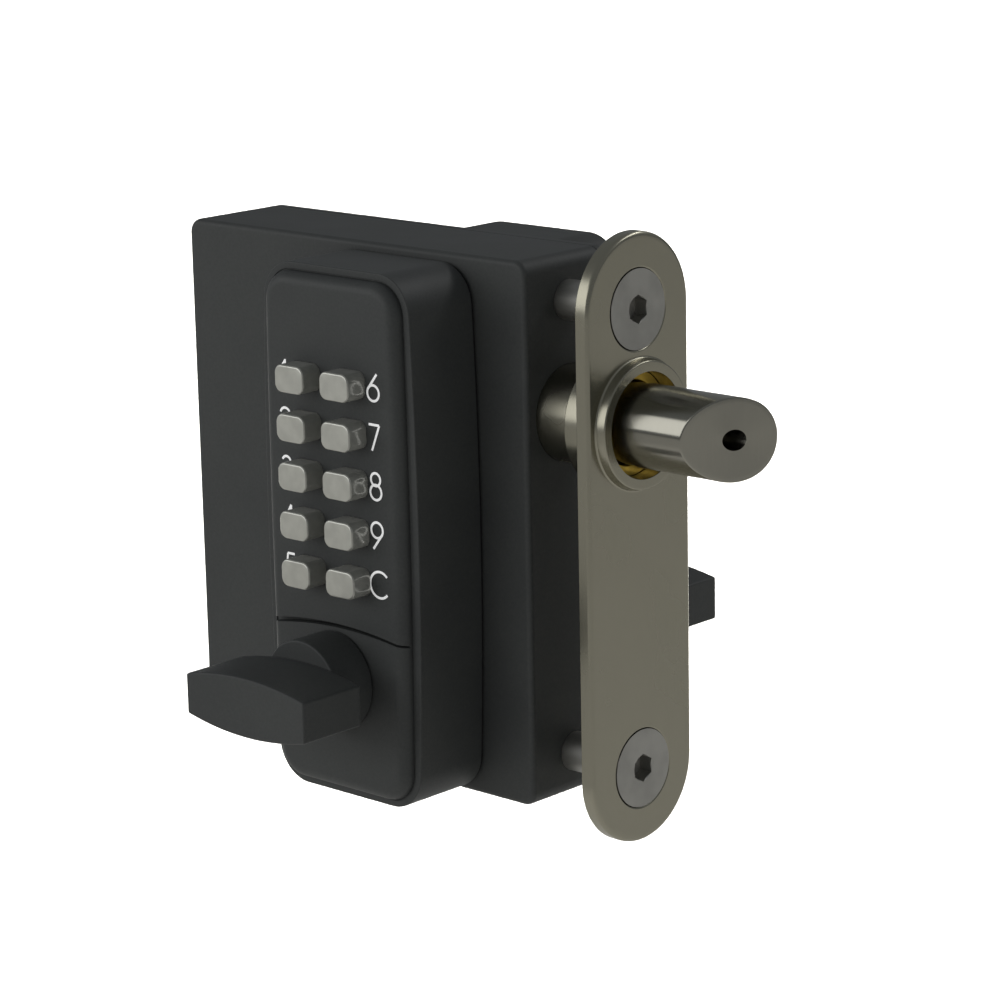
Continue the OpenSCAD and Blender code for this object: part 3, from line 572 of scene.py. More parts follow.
def grid_tree():
    """Repeats a piece in columns along X and rows along Z."""
    name = "piece_grid"
    if name in bpy.data.node_groups:
        return bpy.data.node_groups[name]
    tree, given = new_tree(name, [
        ("Piece", "NodeSocketObject"), ("Columns", "NodeSocketInt"), ("Rows", "NodeSocketInt"),
        ("Column pitch", "NodeSocketFloat"), ("Row pitch", "NodeSocketFloat"),
        ("First place", "NodeSocketVector"), ("Finish", "NodeSocketMaterial")])
    source = given.outputs
    index = add_node(tree, "GeometryNodeInputIndex").outputs[0]
    count = maths(tree, "MULTIPLY", source["Columns"], source["Rows"])
    column = maths(tree, "MODULO", index, source["Columns"])
    row = maths(tree, "FLOOR", maths(tree, "DIVIDE", index, source["Columns"]))
    across = maths(tree, "MULTIPLY", column, source["Column pitch"])
    upward = maths(tree, "MULTIPLY", row, source["Row pitch"])
    shift = add_node(tree, "ShaderNodeCombineXYZ", {"X": across, "Z": upward}).outputs[0]
    place = add_node(tree, "ShaderNodeVectorMath", {0: source["First place"], 1: shift},
                     operation="ADD").outputs[0]
    points = add_node(tree, "GeometryNodePoints", {"Count": count, "Position": place}).outputs[0]
    shape = add_node(tree, "GeometryNodeObjectInfo", {"Object": source["Piece"]}).outputs["Geometry"]
    copies = add_node(tree, "GeometryNodeInstanceOnPoints", {"Points": points, "Instance": shape})
    return end_tree(tree, copies.outputs[0], source["Finish"])


def repeat_piece(template, columns, rows, pitch, first, finish):
    """Copies of a template, built at the origin, on a grid; the template is removed."""
    holder = new_object("copies", bpy.data.meshes.new("copies"))
    run_tree(holder, grid_tree(), {
        "Piece": template, "Columns": columns, "Rows": rows, "Column pitch": float(pitch[0]),
        "Row pitch": float(pitch[1]), "First place": first, "Finish": finish})
    bpy.data.objects.remove(template)
    return holder


def coil_tree():
    """Coil spring along Z, from the origin up."""
    name = "coil_spring"
    if name in bpy.data.node_groups:
        return bpy.data.node_groups[name]
    tree, given = new_tree(name, [
        ("Radius", "NodeSocketFloat"), ("Wire", "NodeSocketFloat"), ("Length", "NodeSocketFloat"),
        ("Turns", "NodeSocketFloat"), ("Finish", "NodeSocketMaterial")])
    source = given.outputs
    line = add_node(tree, "GeometryNodeCurveSpiral", {
        "Resolution": 32, "Rotations": source["Turns"], "Start Radius": source["Radius"],
        "End Radius": source["Radius"], "Height": source["Length"]}).outputs[0]
    return end_tree(tree, round_wire(tree, line, source["Wire"], 12), source["Finish"])


def coil(radius, wire, height, turns, finish):
    holder = new_object("coil", bpy.data.meshes.new("coil"))
    return run_tree(holder, coil_tree(), {
        "Radius": float(radius), "Wire": float(wire), "Length": float(height),
        "Turns": float(turns), "Finish": finish})


def stroke_tree():
    """Turns the edges of a mesh in the plane of X and Z into flat painted strokes."""
    name = "painted_strokes"
    if name in bpy.data.node_groups:
        return bpy.data.node_groups[name]
    tree, given = new_tree(name, [
        ("Lines", "NodeSocketGeometry"), ("Width", "NodeSocketFloat"),
        ("Thickness", "NodeSocketFloat"), ("Face", "NodeSocketFloat"),
        ("Finish", "NodeSocketMaterial")])
    source = given.outputs
    lines = add_node(tree, "GeometryNodeMeshToCurve", {"Mesh": source["Lines"]}).outputs[0]
    tube = round_wire(tree, lines, source["Width"], 16)
    ratio = maths(tree, "DIVIDE", source["Thickness"], source["Width"])
    flat = add_node(tree, "ShaderNodeCombineXYZ", {"X": 1.0, "Y": ratio, "Z": 1.0}).outputs[0]
    shift = add_node(tree, "ShaderNodeCombineXYZ", {"Y": source["Face"]}).outputs[0]
    painted = add_node(tree, "GeometryNodeTransform",
                       {"Geometry": tube, "Translation": shift, "Scale": flat}).outputs[0]
    return end_tree(tree, painted, source["Finish"])


# Finishes


def new_finish(name, **constants):
    """A material with its tree and its shader, on whose sockets plain values are set."""
    material = bpy.data.materials.new(name)
    material.use_nodes = True
    tree = material.node_tree
    tree.nodes.clear()
    values = {key.replace("_", " "): value for key, value in constants.items()}
    shader = add_node(tree, "ShaderNodeBsdfPrincipled", values)
    add_node(tree, "ShaderNodeOutputMaterial", {"Surface": shader.outputs[0]})
    return SimpleNamespace(material=material, tree=tree, shader=shader)


def grain(tree, size, stretch=(1, 1, 1), detail=2.0, rough=0.5):
    """Noise on the object's own coordinates, with grains of a size in millimetres that may be
    drawn out along an axis: a stretch of 30 makes them 30 times as long."""
    place = add_node(tree, "ShaderNodeTexCoord").outputs["Object"]
    scale = [1 / (size * MM * factor) for factor in stretch]
    mapped = add_node(tree, "ShaderNodeMapping", {"Vector": place, "Scale": scale}).outputs[0]
    return add_node(tree, "ShaderNodeTexNoise", {
        "Vector": mapped, "Scale": 1.0, "Detail": detail, "Roughness": rough}).outputs[0]


def blend_colours(tree, share, dark, light, low=0.35, high=0.65):
    """Colour that runs from dark to light as the share goes from low to high."""
    ramp = add_node(tree, "ShaderNodeValToRGB", {"Fac": share})
    ends = ramp.color_ramp.elements
    for end, place, tint in ((ends[0], low, dark), (ends[1], high, light)):
        end.position = place
        end.color = (*tint, 1)
    return ramp.outputs[0]


def spread(tree, share, low, high):
    """A noise, which lies mostly between 0.3 and 0.7, mapped to a range."""
    return add_node(tree, "ShaderNodeMapRange", {
        "Value": share, "From Min": 0.3, "From Max": 0.7, "To Min": low, "To Max": high}).outputs[0]


def raise_surface(tree, shader, height, distance, strength=1.0):
    """Bump from a height of 0 to 1 that stands for a distance in millimetres."""
    bump = add_node(tree, "ShaderNodeBump", {
        "Strength": strength, "Distance": distance * MM, "Height": height})
    tree.links.new(bump.outputs[0], shader.inputs["Normal"])


def link(tree, output, shader, name):
    tree.links.new(output, shader.inputs[name])


def shaded(colour, factor):
    """A colour made darker or lighter by a factor."""
    return [c * factor for c in colour]


def dress(made, tint, rough, bump):
    """Links a new finish and returns its material. The three hold what blend_colours, spread and
    raise_surface take."""
    tree, shader = made.tree, made.shader
    link(tree, blend_colours(tree, *tint), shader, "Base Color")
    link(tree, spread(tree, *rough), shader, "Roughness")
    raise_surface(tree, shader, *bump)
    return made.material


def powder_coat(colours):
    # Charcoal polyester powder coat, sprayed and baked: satin, with a fine orange-peel skin
    made = new_finish("charcoal_powder_coat", Specular_IOR_Level=0.32, IOR=1.5)
    tree = made.tree
    skin = grain(tree, 0.55, detail=3.0)
    clouds = grain(tree, 18.0)
    share = maths(tree, "MULTIPLY", maths(tree, "ADD", skin, clouds), 0.5)
    return dress(made, tint=(share, colours.coat, colours.coat_light),
                 rough=(clouds, 0.50, 0.58), bump=(skin, 0.012, 0.6))


def satin_steel(colours):
    # Satin stainless steel, brushed down its length: fine upright lines and a soft sheen
    made = new_finish("satin_stainless_steel", Metallic=1.0)
    lines = grain(made.tree, 0.12, (1, 1, 60))
    clouds = grain(made.tree, 14.0)
    return dress(made, tint=(lines, colours.forend_dark, colours.forend, 0.2, 0.8),
                 rough=(clouds, 0.23, 0.29), bump=(lines, 0.002, 0.2))


def ground_bar(colours):
    # Centreless-ground stainless bar: bright, with faint rings round it. The grinding draws its
    # highlight out along it.
    made = new_finish("ground_stainless_bar", Metallic=1.0, Anisotropic=0.85,
                      Anisotropic_Rotation=0.25)
    rings = grain(made.tree, 0.14, (1, 40, 40))
    clouds = grain(made.tree, 9.0)
    round_it = add_node(made.tree, "ShaderNodeTangent", direction_type="RADIAL", axis="X")
    link(made.tree, round_it.outputs[0], made.shader, "Tangent")
    return dress(made, tint=(rings, shaded(colours.bolt, 0.93), colours.bolt, 0.2, 0.8),
                 rough=(clouds, 0.17, 0.21), bump=(rings, 0.001, 0.15))


def blasted_steel(colours):
    # Bead-blasted stainless screw: an even grey bloom of tiny dimples
    made = new_finish("blasted_stainless_steel", Metallic=1.0)
    dimples = grain(made.tree, 0.12)
    clouds = grain(made.tree, 6.0)
    return dress(made, tint=(clouds, shaded(colours.screw, 0.85), colours.screw),
                 rough=(dimples, 0.42, 0.52), bump=(dimples, 0.004, 0.5))


def button_nickel(colours):
    # Nickel-plated buttons: faces satin-blasted, sides smooth and mirroring faintly, their colour
    # darkened as painted shade
    made = new_finish("nickel_plate", Metallic=1.0)
    tree, shader = made.tree, made.shader
    dimples = grain(tree, 0.14)
    clouds = grain(tree, 3.5)
    facing = add_node(tree, "ShaderNodeTexCoord").outputs["Normal"]
    toward = add_node(tree, "ShaderNodeSeparateXYZ", {"Vector": facing}).outputs["Y"]

    def change(on_face, on_sides):
        """A value on the faces, which look along -Y, that changes to another on the sides."""
        return add_node(tree, "ShaderNodeMapRange", {
            "Value": toward, "From Min": -0.97, "From Max": -0.75, "To Min": on_face,
            "To Max": on_sides}).outputs[0]

    mottled = blend_colours(tree, clouds, shaded(colours.button, 0.88), colours.button)
    # Painted shade: the sides' colour is scaled down to 0.72 of the faces' colour
    tint = add_node(tree, "ShaderNodeVectorMath", {0: mottled, "Scale": change(1.0, 0.72)},
                    operation="SCALE").outputs[0]
    link(tree, tint, shader, "Base Color")
    link(tree, change(0.42, 0.15), shader, "Roughness")
    link(tree, change(1.0, 0.35), shader, "Metallic")
    raise_surface(tree, shader, dimples, 0.002, 0.35)
    return made.material


def turned_brass(colours):
    # Turned brass: warm yellow with fine tool rings, dulled a little by handling
    made = new_finish("turned_brass", Metallic=1.0)
    rings = grain(made.tree, 0.18, (1, 30, 30))
    clouds = grain(made.tree, 5.0)
    return dress(made, tint=(clouds, shaded(colours.brass, 0.7), colours.brass),
                 rough=(rings, 0.28, 0.40), bump=(rings, 0.004, 0.5))


def bright_zinc(colours):
    # Zinc-plated pressed steel: cool and bright, with a faint milky mottle
    made = new_finish("bright_zinc_plate", Metallic=1.0)
    mottle = grain(made.tree, 2.5, detail=3.0)
    fine = grain(made.tree, 0.3)
    return dress(made, tint=(mottle, shaded(colours.zinc, 0.8), colours.zinc),
                 rough=(fine, 0.30, 0.42), bump=(fine, 0.003, 0.4))


def cast_zinc(colours):
    # Raw die-cast zinc: grey, matt and slightly pitted, with flow marks
    made = new_finish("die_cast_zinc", Metallic=1.0)
    flow = grain(made.tree, 4.0, (1, 1, 3), detail=4.0)
    pits = grain(made.tree, 0.35, detail=3.0)
    return dress(made, tint=(flow, shaded(colours.die_cast, 0.75), colours.die_cast),
                 rough=(pits, 0.48, 0.62), bump=(pits, 0.01, 0.5))


def spring_wire(colours):
    # Drawn spring wire: smooth and grey, with faint lines from the die
    made = new_finish("drawn_spring_wire", Metallic=1.0)
    marks = grain(made.tree, 0.2, detail=3.0)
    return dress(made, tint=(marks, shaded(colours.spring, 0.75), colours.spring),
                 rough=(marks, 0.24, 0.36), bump=(marks, 0.003, 0.4))


def moulded_rubber(colours):
    # Moulded black rubber gasket: matt, with a dusty bloom
    made = new_finish("moulded_rubber", IOR=1.5, Specular_IOR_Level=0.3)
    bloom = grain(made.tree, 3.0, detail=4.0)
    fine = grain(made.tree, 0.2)
    return dress(made, tint=(bloom, colours.rubber, shaded(colours.rubber, 2.0)),
                 rough=(bloom, 0.70, 0.84), bump=(fine, 0.01, 0.5))


def digit_paint(colours):
    # White enamel on the digits: matt and nearly even, with a painted glow: it gives off a little light
    # of its own to look whiter
    made = new_finish("white_enamel", IOR=1.5, Emission_Strength=0.3)
    tree, shader = made.tree, made.shader
    specks = grain(tree, 0.3, detail=3.0)
    tint = blend_colours(tree, specks, shaded(colours.paint, 0.9), colours.paint)
    link(tree, tint, shader, "Base Color")
    # Painted glow: the paint shines with its own colour
    link(tree, tint, shader, "Emission Color")
    link(tree, spread(tree, specks, 0.45, 0.6), shader, "Roughness")
    return made.material


FINISHES = {
    "coat": powder_coat,
    "forend": satin_steel,
    "bolt": ground_bar,
    "screw": blasted_steel,
    "button": button_nickel,
    "brass": turned_brass,
    "zinc": bright_zinc,
    "die_cast": cast_zinc,
    "spring": spring_wire,
    "rubber": moulded_rubber,
    "paint": digit_paint,
}
# Finishes made so far, by short name
MADE_FINISHES = {}


def finish(name):
    """A finish by its short name, made when it is first asked for."""
    if name not in MADE_FINISHES:
        MADE_FINISHES[name] = FINISHES[name](settings().colours)
    return MADE_FINISHES[name]


# Places that several pieces share


def box_middle(low, high):
    """A box's middle in X and Z, on the gate's middle plane."""
    return Vector(((low.x + high.x) / 2, 0, (low.z + high.z) / 2))


def depths(node):
    """A node's nearer and farther depth."""
    low, high = node_box(node)
    return sorted((abs(low.y), abs(high.y)))


def knob_axis():
    """The axis of both knobs."""
    return box_middle(*node_box("knob_driver"))


def bolt_radius():
    low, high = node_box("bolt")
    return (high.y - low.y) / 2


def bolt_axis():
    low, high = node_box("guide_tube")
    return Vector((0, 0, (low.z + high.z) / 2))


def fixing_heights():
    """Heights of the two through bolts, the lower one first."""
    low, high = node_box("through_bolts")
    radius = settings().case.fixing_head / MM / 2
    return low.z + radius, high.z - radius


def fixing_axes():
    return [Vector((knob_axis().x, 0, z)) for z in fixing_heights()]


def forend_screw_axes():
    _low, high = node_box("forend_screws")
    height = high.z - settings().forend.screw_head / MM / 2
    return [Vector((0, 0, z)) for z in (-height, height)]


def post_places():
    """Middles of the four cover screws, as the two places across and the two up."""
    low, high = node_box("cover_screws")
    radius = settings().case.screw_head / MM / 2
    return (low.x + radius, high.x - radius), (low.z + radius, high.z - radius)


def post_axes():
    across, up = post_places()
    return [Vector((x, 0, z)) for x in across for z in up]


def button_places():
    """Each digit's button, as its middle in X and Z."""
    places = {}
    for digit in DIGITS:
        low, high = node_box("button_" + digit)
        places[digit] = ((low.x + high.x) / 2, (low.z + high.z) / 2)
    return places


# Pieces


def casting(side):
    """One unit's casting, before its own holes: side wall, rim, cushioned face and pillars."""
    sizes = sizes_of(settings().casting)
    node = "keypad_housing" if side == FRONT else "rear_housing"
    low, high = node_box(node)
    middle = box_middle(low, high)
    width, height = high.x - low.x, high.z - low.z
    back, face = depths(node)
    rim_y = face - sizes.rise
    straighter = SimpleNamespace(bow=sizes.bow - sizes.side_rim, corner=sizes.corner)
    foot = sizes.rim - sizes.foot
    cushion_steps, flat_middle = 14, 0.4
    bore_edge = 0.25
    profile = soften([
        (face - sizes.face_wall, sizes.wall),
        (back, sizes.wall, BURR),
        (back, 0, BURR),
        (rim_y, 0, sizes.rim_edge),
        (rim_y, foot, CLOSE, 2),
        (rim_y - sizes.foot, foot),
        (rim_y - sizes.foot, sizes.rim),
        (face, sizes.rim, sizes.rise, cushion_steps),
        (face, sizes.rim + sizes.rise + flat_middle)])

    def ring_at(depth, inset):
        flat = casting_outline(sizes, width, height, inset)
        if depth > rim_y - 2 * sizes.foot and inset >= foot:
            flat = casting_outline(straighter, width - 2 * sizes.side_rim, height, inset)
        return ring_points(flat, side * depth, middle, "Y")

    shell = loft(profile, ring_at, "casting")
    plate_low, _plate_high = node_box("keypad_plate")
    near, far = side * abs(plate_low.y), side * (face - sizes.pillar_end)
    pillars = [rod("Y", Vector((middle.x, 0, z)), near, far, sizes.pillar / 2, TURNED_SIDES)
               for z in fixing_heights()]
    combine(shell, pillars, "UNION")
    bore = mouth(face, sizes.neck / 2, bore_edge, face - 2 * sizes.face_wall)
    cutter = turned([(side * along, radius) for along, radius in bore], knob_axis(), "Y")
    combine(shell, [cutter], "DIFFERENCE")
    return shell, sizes, face


def arc_cutter(sizes, face, knob_place):
    """Cutter for the engraved arc: two edges of one radius that draw together to the right."""
    crown = knob_place.z + sizes.arc_crown
    radius, reach = sizes.arc_radius, sizes.arc_reach
    steps = 48
    across = [-reach + 2 * reach * i / steps for i in range(steps + 1)]
    centre_x = radius * math.sin(sizes.arc_taper)
    centre_z = crown - sizes.arc_width - radius * math.cos(sizes.arc_taper)
    upper = [(x, crown - radius + math.sqrt(radius ** 2 - x * x)) for x in across]
    lower = [(x, centre_z + math.sqrt(radius ** 2 - (x - centre_x) ** 2)) for x in across]
    place = Vector((knob_place.x, 0, 0))
    return prism(upper + lower[::-1], -face - OVER, -face + sizes.arc_depth, place, "Y")


def front_casting():
    """Front casting with the button holes, the engraved arc and the threads in its pillars."""
    shell, sizes, face = casting(FRONT)
    buttons = sizes_of(settings().button)
    hole = mouth(face, sizes.hole_play, sizes.hole_edge, face - 2 * sizes.face_wall)
    cutters = []
    for across, up in button_places().values():
        def ring_at(depth, reach, across=across, up=up):
            flat = box_outline(buttons.width + 2 * reach, buttons.height + 2 * reach,
                               buttons.corner + reach)
            return [Vector((across + a, -depth, up + b)) for a, b in flat]
        cutters.append(loft(hole, ring_at))
    cutters.append(arc_cutter(sizes, face, knob_axis()))
    low, _high = node_box("through_bolts")
    thread, spare = sizes_of(settings().case).fixing / 2 + PLAY, 0.3
    cutters += [rod("Y", axis, low.y - spare, 0, thread) for axis in fixing_axes()]
    combine(shell, cutters, "DIFFERENCE")
    return place_piece(shell, "front_casting", "lock", "coat", ("keypad_housing",))


def rear_casting():
    """Rear casting with the countersinks of the through bolts."""
    shell, _sizes, face = casting(REAR)
    case = sizes_of(settings().case)
    head_gap, bevel = 0.25, 0.1
    head, hole = case.fixing_head / 2 + head_gap, case.fixing_hole / 2
    sink = countersink(face, head, hole, bevel, bevel, 0)
    combine(shell, [turned(sink, axis, "Y") for axis in fixing_axes()], "DIFFERENCE")
    return place_piece(shell, "rear_casting", "lock", "coat", ("rear_housing",))


def gasket(side):
    """Rubber sheet between a unit and the case."""
    sizes = sizes_of(settings().casting)
    node = "keypad_gasket" if side == FRONT else "rear_gasket"
    low, high = node_box(node)
    middle = box_middle(low, high)
    housing_low, housing_high = node_box("keypad_housing")
    width, height = housing_high.x - housing_low.x, housing_high.z - housing_low.z
    inset = (width - high.x + low.x) / 2
    edge, lid, hole_gap = 0.15, 1, 0.15
    profile = soften([(low.y, inset + lid), (low.y, inset, edge), (high.y, inset, edge),
                      (high.y, inset + lid)])

    def ring_at(depth, reach):
        return ring_points(casting_outline(sizes, width, height, reach), depth, middle, "Y")

    sheet = loft(profile, ring_at)
    bush_low, bush_high = node_box("front_bush")
    bush_radius = (bush_high.x - bush_low.x) / 2
    near, far = low.y - OVER, high.y + OVER
    cutters = [rod("Y", knob_axis(), near, far, bush_radius, TURNED_SIDES)]
    hole = sizes_of(settings().case).fixing_hole / 2 + hole_gap
    cutters += [rod("Y", axis, near, far, hole) for axis in fixing_axes()]
    combine(sheet, cutters, "DIFFERENCE")
    name = "front_gasket" if side == FRONT else "back_gasket"
    return place_piece(sheet, name, "lock", "rubber", (node,))


def buttons():
    """Ten push buttons: a satin face on smooth sides, a flange and a stem."""
    sizes = sizes_of(settings().button)
    housing_low, _high = node_box("keypad_housing")
    flange_gap, stem_edge = 0.1, 0.3
    flange = housing_low.y + sizes_of(settings().casting).face_wall + flange_gap
    for digit, (across, up) in button_places().items():
        low, high = node_box("button_" + digit)
        profile = soften([
            (low.y, 1.2), (low.y, 0, sizes.edge, FINE_STEPS), (flange, 0), (flange, -sizes.flange),
            (flange + sizes.flange_depth, -sizes.flange), (flange + sizes.flange_depth, 0.4)])

        def ring_at(depth, inset, across=across, up=up):
            flat = box_outline(sizes.width - 2 * inset, sizes.height - 2 * inset,
                               sizes.corner - inset)
            return [Vector((across + a, depth, up + b)) for a, b in flat]

        body = loft(profile, ring_at)
        stem = soften([(flange, sizes.stem / 2), (high.y, sizes.stem / 2, stem_edge), (high.y, 1)])
        stem = turned(stem, Vector((across, 0, up)), "Y", sides=HOLE_SIDES)
        combine(body, [stem], "UNION")
        place_piece(body, "push_button_" + digit, "key_" + digit, "button", ("button_" + digit,))


def digit_strokes(digit, height):
    """Centre lines of a plain upright digit, as lists of points about its middle. A flat stroke
    lies inset from the digit's end by half its own width."""
    top = height / 2
    inset = 0.25
    bowl = height * 0.29
    low_bowl = (0, -top + bowl)
    if digit in "69":
        lean = math.radians(153)
        start = (bowl * math.cos(lean), low_bowl[1] + bowl * math.sin(lean))
        stem = [start, (height * 0.20, top)]
        strokes = [arc(low_bowl, bowl, 0, 360, 40), stem]
        if digit == "9":
            strokes = [[(-x, -z) for x, z in line] for line in strokes]
        return strokes
    if digit == "8":
        small = height * 0.235
        return [arc(low_bowl, height * 0.28, 0, 360, 40),
                arc((0, top - small), small, 0, 360, 40)]
    if digit == "7":
        half = height * 0.26
        flat = top - inset
        return [[(-half, flat), (half, flat)], [(half, flat), (-half * 0.5, -top)]]
    if digit == "c":
        return [arc((height * 0.07, 0), height * 0.49, 42, 318, 48)]
    if digit == "1":
        stem = height * 0.08
        flag = top - 0.2
        return [[(stem, top), (stem, -top)],
                [(stem, flag), (stem - 0.2 * height, top - 0.3 * height)]]
    if digit == "2":
        radius = height * 0.26
        curve = arc((0, top - radius), radius, 160, -38, 24)
        foot = -top + inset
        return [curve + [(-radius, foot)], [(-radius, foot), (radius, foot)]]
    if digit == "3":
        upper, lower = height * 0.225, height * 0.275
        return [arc((-0.1, top - upper), upper, 155, -80, 24),
                arc((-0.1, -top + lower), lower, 85, -155, 24)]
    if digit == "4":
        right = height * 0.14
        bar = -top + 0.25 * height
        return [[(right, -top), (right, top)], [(right, top), (-height * 0.3, bar)],
                [(-height * 0.3, bar), (right + 0.12 * height, bar)]]
    centre_x, start = -0.2, 118
    corner = (-height * 0.12, top - inset)
    stem_foot = (centre_x + bowl * math.cos(math.radians(start)), -top + bowl * 1.88)
    return [arc((centre_x, -top + bowl), bowl, start, -150, 28), [stem_foot, corner],
            [corner, (height * 0.24, top - inset)]]


def digits():
    """Painted digits beside the buttons: 1 to 5 on the left, 6 to 9 and C on the right."""
    sizes = sizes_of(settings().button)
    low, high = node_box("keypad_housing")
    middle = (low.x + high.x) / 2
    points, edges = [], []
    for digit, (across, up) in button_places().items():
        side = 1 if across > middle else -1
        for line in digit_strokes(digit, sizes.digit_height):
            first = len(points)
            ring = math.dist(line[0], line[-1]) < WELD
            line = line[:-1] if ring else line
            points += [(across + side * sizes.digit_shift + x, 0, up + z) for x, z in line]
            edges += [(first + i, first + i + 1) for i in range(len(line) - 1)]
            if ring:
                edges.append((first + len(line) - 1, first))
    mesh = bpy.data.meshes.new("digits")
    mesh.from_pydata(points, edges, [])
    piece = new_object("digits", mesh)
    run_tree(piece, stroke_tree(), {
        "Width": sizes.stroke, "Thickness": sizes.paint, "Face": low.y, "Finish": finish("paint")})
    return place_piece(piece, "painted_digits", "lock", "paint")


def knob(side):
    """Grip, round base and neck, with the square drive at its inner end."""
    sizes = sizes_of(settings().knob)
    if side == FRONT:
        node, clip, name, body = "front_knob", "front_circlip", "front_turn_knob", "front_turn"
        span, middle, end, tenon = sizes.front_length, sizes.front_mid, sizes.front_end, sizes.tenon
    else:
        node, clip, name, body = "rear_knob", "rear_circlip", "rear_turn_knob", "rear_drive"
        span, middle, end, tenon = sizes.rear_length, sizes.rear_mid, sizes.rear_end, 0
    _back, face = depths("keypad_housing")
    inner, outer = depths(node)
    base_end = outer - sizes.grip_depth
    axis = knob_axis()
    grip = prism(grip_outline(span, middle, end), side * outer, side * (base_end - CLOSE), axis, "Y")
    round_edges(grip, sizes.edge)
    clip_near, clip_far = depths(clip)
    clip_near -= CLOSE
    clip_far += CLOSE
    neck_end = inner + tenon
    neck, groove, foot = sizes.neck / 2, sizes.clip_groove / 2, face + sizes.gap
    foot_edge, neck_edge, lid = 0.25, 0.3, 2
    profile = soften([
        (base_end, lid), (base_end, sizes.base / 2, sizes.edge), (foot, sizes.base / 2, foot_edge),
        (foot, neck), (clip_far, neck), (clip_far, groove), (clip_near, groove),
        (clip_near, neck), (neck_end, neck, neck_edge), (neck_end, lid)])
    base = turned([(side * along, radius) for along, radius in profile], axis, "Y", "knob")
    combine(base, [grip], "UNION")
    half = sizes.square / 2
    if side == FRONT:
        square = block(axis + Vector((-half, -neck_end - BITE, -half)),
                       axis + Vector((half, -inner, half)))
        combine(base, [round_edges(square, BURR, 2)], "UNION")
    else:
        half += CLOSE
        square = block(axis + Vector((-half, inner - OVER, -half)),
                       axis + Vector((half, inner + sizes.socket, half)))
        combine(base, [square], "DIFFERENCE")
    return place_piece(base, name, body, "coat", (node,))


def case_outline_at(sizes, low, high):
    """Ring of the case's outline at a depth, for an inset."""
    middle = box_middle(low, high)
    least_corner = 0.4

    def ring_at(depth, inset):
        flat = box_outline(high.x - low.x - 2 * inset, high.z - low.z - 2 * inset,
                           max(sizes.corner - inset, least_corner))
        return ring_points(flat, depth, middle, "Y")
    return ring_at


def lock_case():
    """Case body: front wall and four sides with posts, bosses, the tube's block and a guide rib."""
    sizes = sizes_of(settings().case)
    forend = sizes_of(settings().forend)
    low, high = node_box("lock_case")
    wall_y = low.y + sizes.wall
    lid, lap = 0.6, 0.1
    profile = soften([
        (wall_y, sizes.wall), (high.y, sizes.wall, BURR), (high.y, 0, sizes.seam),
        (low.y, 0, sizes.front_edge, FINE_STEPS), (low.y, sizes.front_edge + lid)])
    shell = loft(profile, case_outline_at(sizes, low, high), "lock_case_body")
    inside, sunk = high.x - sizes.wall, wall_y - BITE
    bolt = bolt_axis()
    tube_low, _tube_high = node_box("guide_tube")
    carriage_low, _carriage_high = node_box("bolt_carriage")
    added = [rod("Y", axis, sunk, high.y, sizes.post / 2) for axis in post_axes()]
    half = sizes.boss / 2
    added += [block((inside - sizes.boss, sunk, axis.z - half), (inside + BITE, high.y, axis.z + half))
              for axis in forend_screw_axes()]
    half = sizes.tube_block / 2
    added.append(block((tube_low.x, sunk, bolt.z - half), (inside + BITE, high.y, bolt.z + half)))
    added.append(block((carriage_low.x - sizes.rib_length, sunk, 0),
                       (inside + BITE, carriage_low.y - sizes.rib_gap, sizes.rib_height)))
    combine(shell, added, "UNION")
    cut = [rod("Y", knob_axis(), low.y - OVER, wall_y + OVER, sizes.bush / 2 + PLAY, TURNED_SIDES),
           rod("X", bolt, tube_low.x - OVER, high.x + OVER, forend.tube / 2 + PLAY, TURNED_SIDES)]
    screw_low, _screw_high = node_box("forend_screws")
    for axis in forend_screw_axes():
        cut.append(rod("X", axis, inside, high.x + OVER, forend.screw / 2 + PLAY))
        cut.append(rod("X", axis, screw_low.x - OVER, high.x - lap, forend.thread / 2 + PLAY))
    cut += [rod("Y", axis, high.y - sizes.tap_depth, high.y + OVER, sizes.screw / 2 + PLAY)
            for axis in post_axes()]
    cut += [rod("Y", axis, low.y - OVER, high.y + OVER, sizes.fixing_hole / 2)
            for axis in fixing_axes()]
    cut.append(rod("X", bolt, low.x - OVER, low.x + sizes.wall + OVER, sizes.rod / 2 + PLAY))
    combine(shell, cut, "DIFFERENCE")
    return place_piece(shell, "case_body", "lock", "coat", ("lock_case",))


def case_cover():
    """Cover plate with its countersinks and the second guide rib."""
    sizes = sizes_of(settings().case)
    low, high = node_box("case_cover")
    _body_low, body_high = node_box("lock_case")
    inner = body_high.y
    inner_lid, lid = 1, 0.6
    head_gap, bevel, sink_sides = 0.3, 0.08, 64
    profile = soften([
        (inner, sizes.seam + inner_lid), (inner, 0, sizes.seam),
        (high.y, 0, sizes.cover_edge, FINE_STEPS), (high.y, sizes.cover_edge + lid)])
    plate = loft(profile, case_outline_at(sizes, low, high), "cover")
    carriage_low, carriage_high = node_box("bolt_carriage")
    rib = block((carriage_low.x - sizes.rib_length, carriage_high.y + sizes.rib_gap, 0),
                (body_high.x - sizes.wall - sizes.rib_gap, inner + BITE, sizes.rib_height))
    combine(plate, [rib], "UNION")
    near, far = inner - OVER, high.y + OVER
    cut = [rod("Y", knob_axis(), near, far, sizes.bush / 2 + PLAY, TURNED_SIDES)]
    cut += [rod("Y", axis, near, far, sizes.fixing_hole / 2) for axis in fixing_axes()]
    head, shank = sizes.screw_head / 2 + head_gap, sizes.screw / 2 + CLOSE
    sink = countersink(high.y, head, shank, bevel, CLOSE, near)
    cut += [turned(sink, axis, "Y", sides=sink_sides) for axis in post_axes()]
    combine(plate, cut, "DIFFERENCE")
    return place_piece(plate, "cover_plate", "lock", "coat", ("case_cover",))


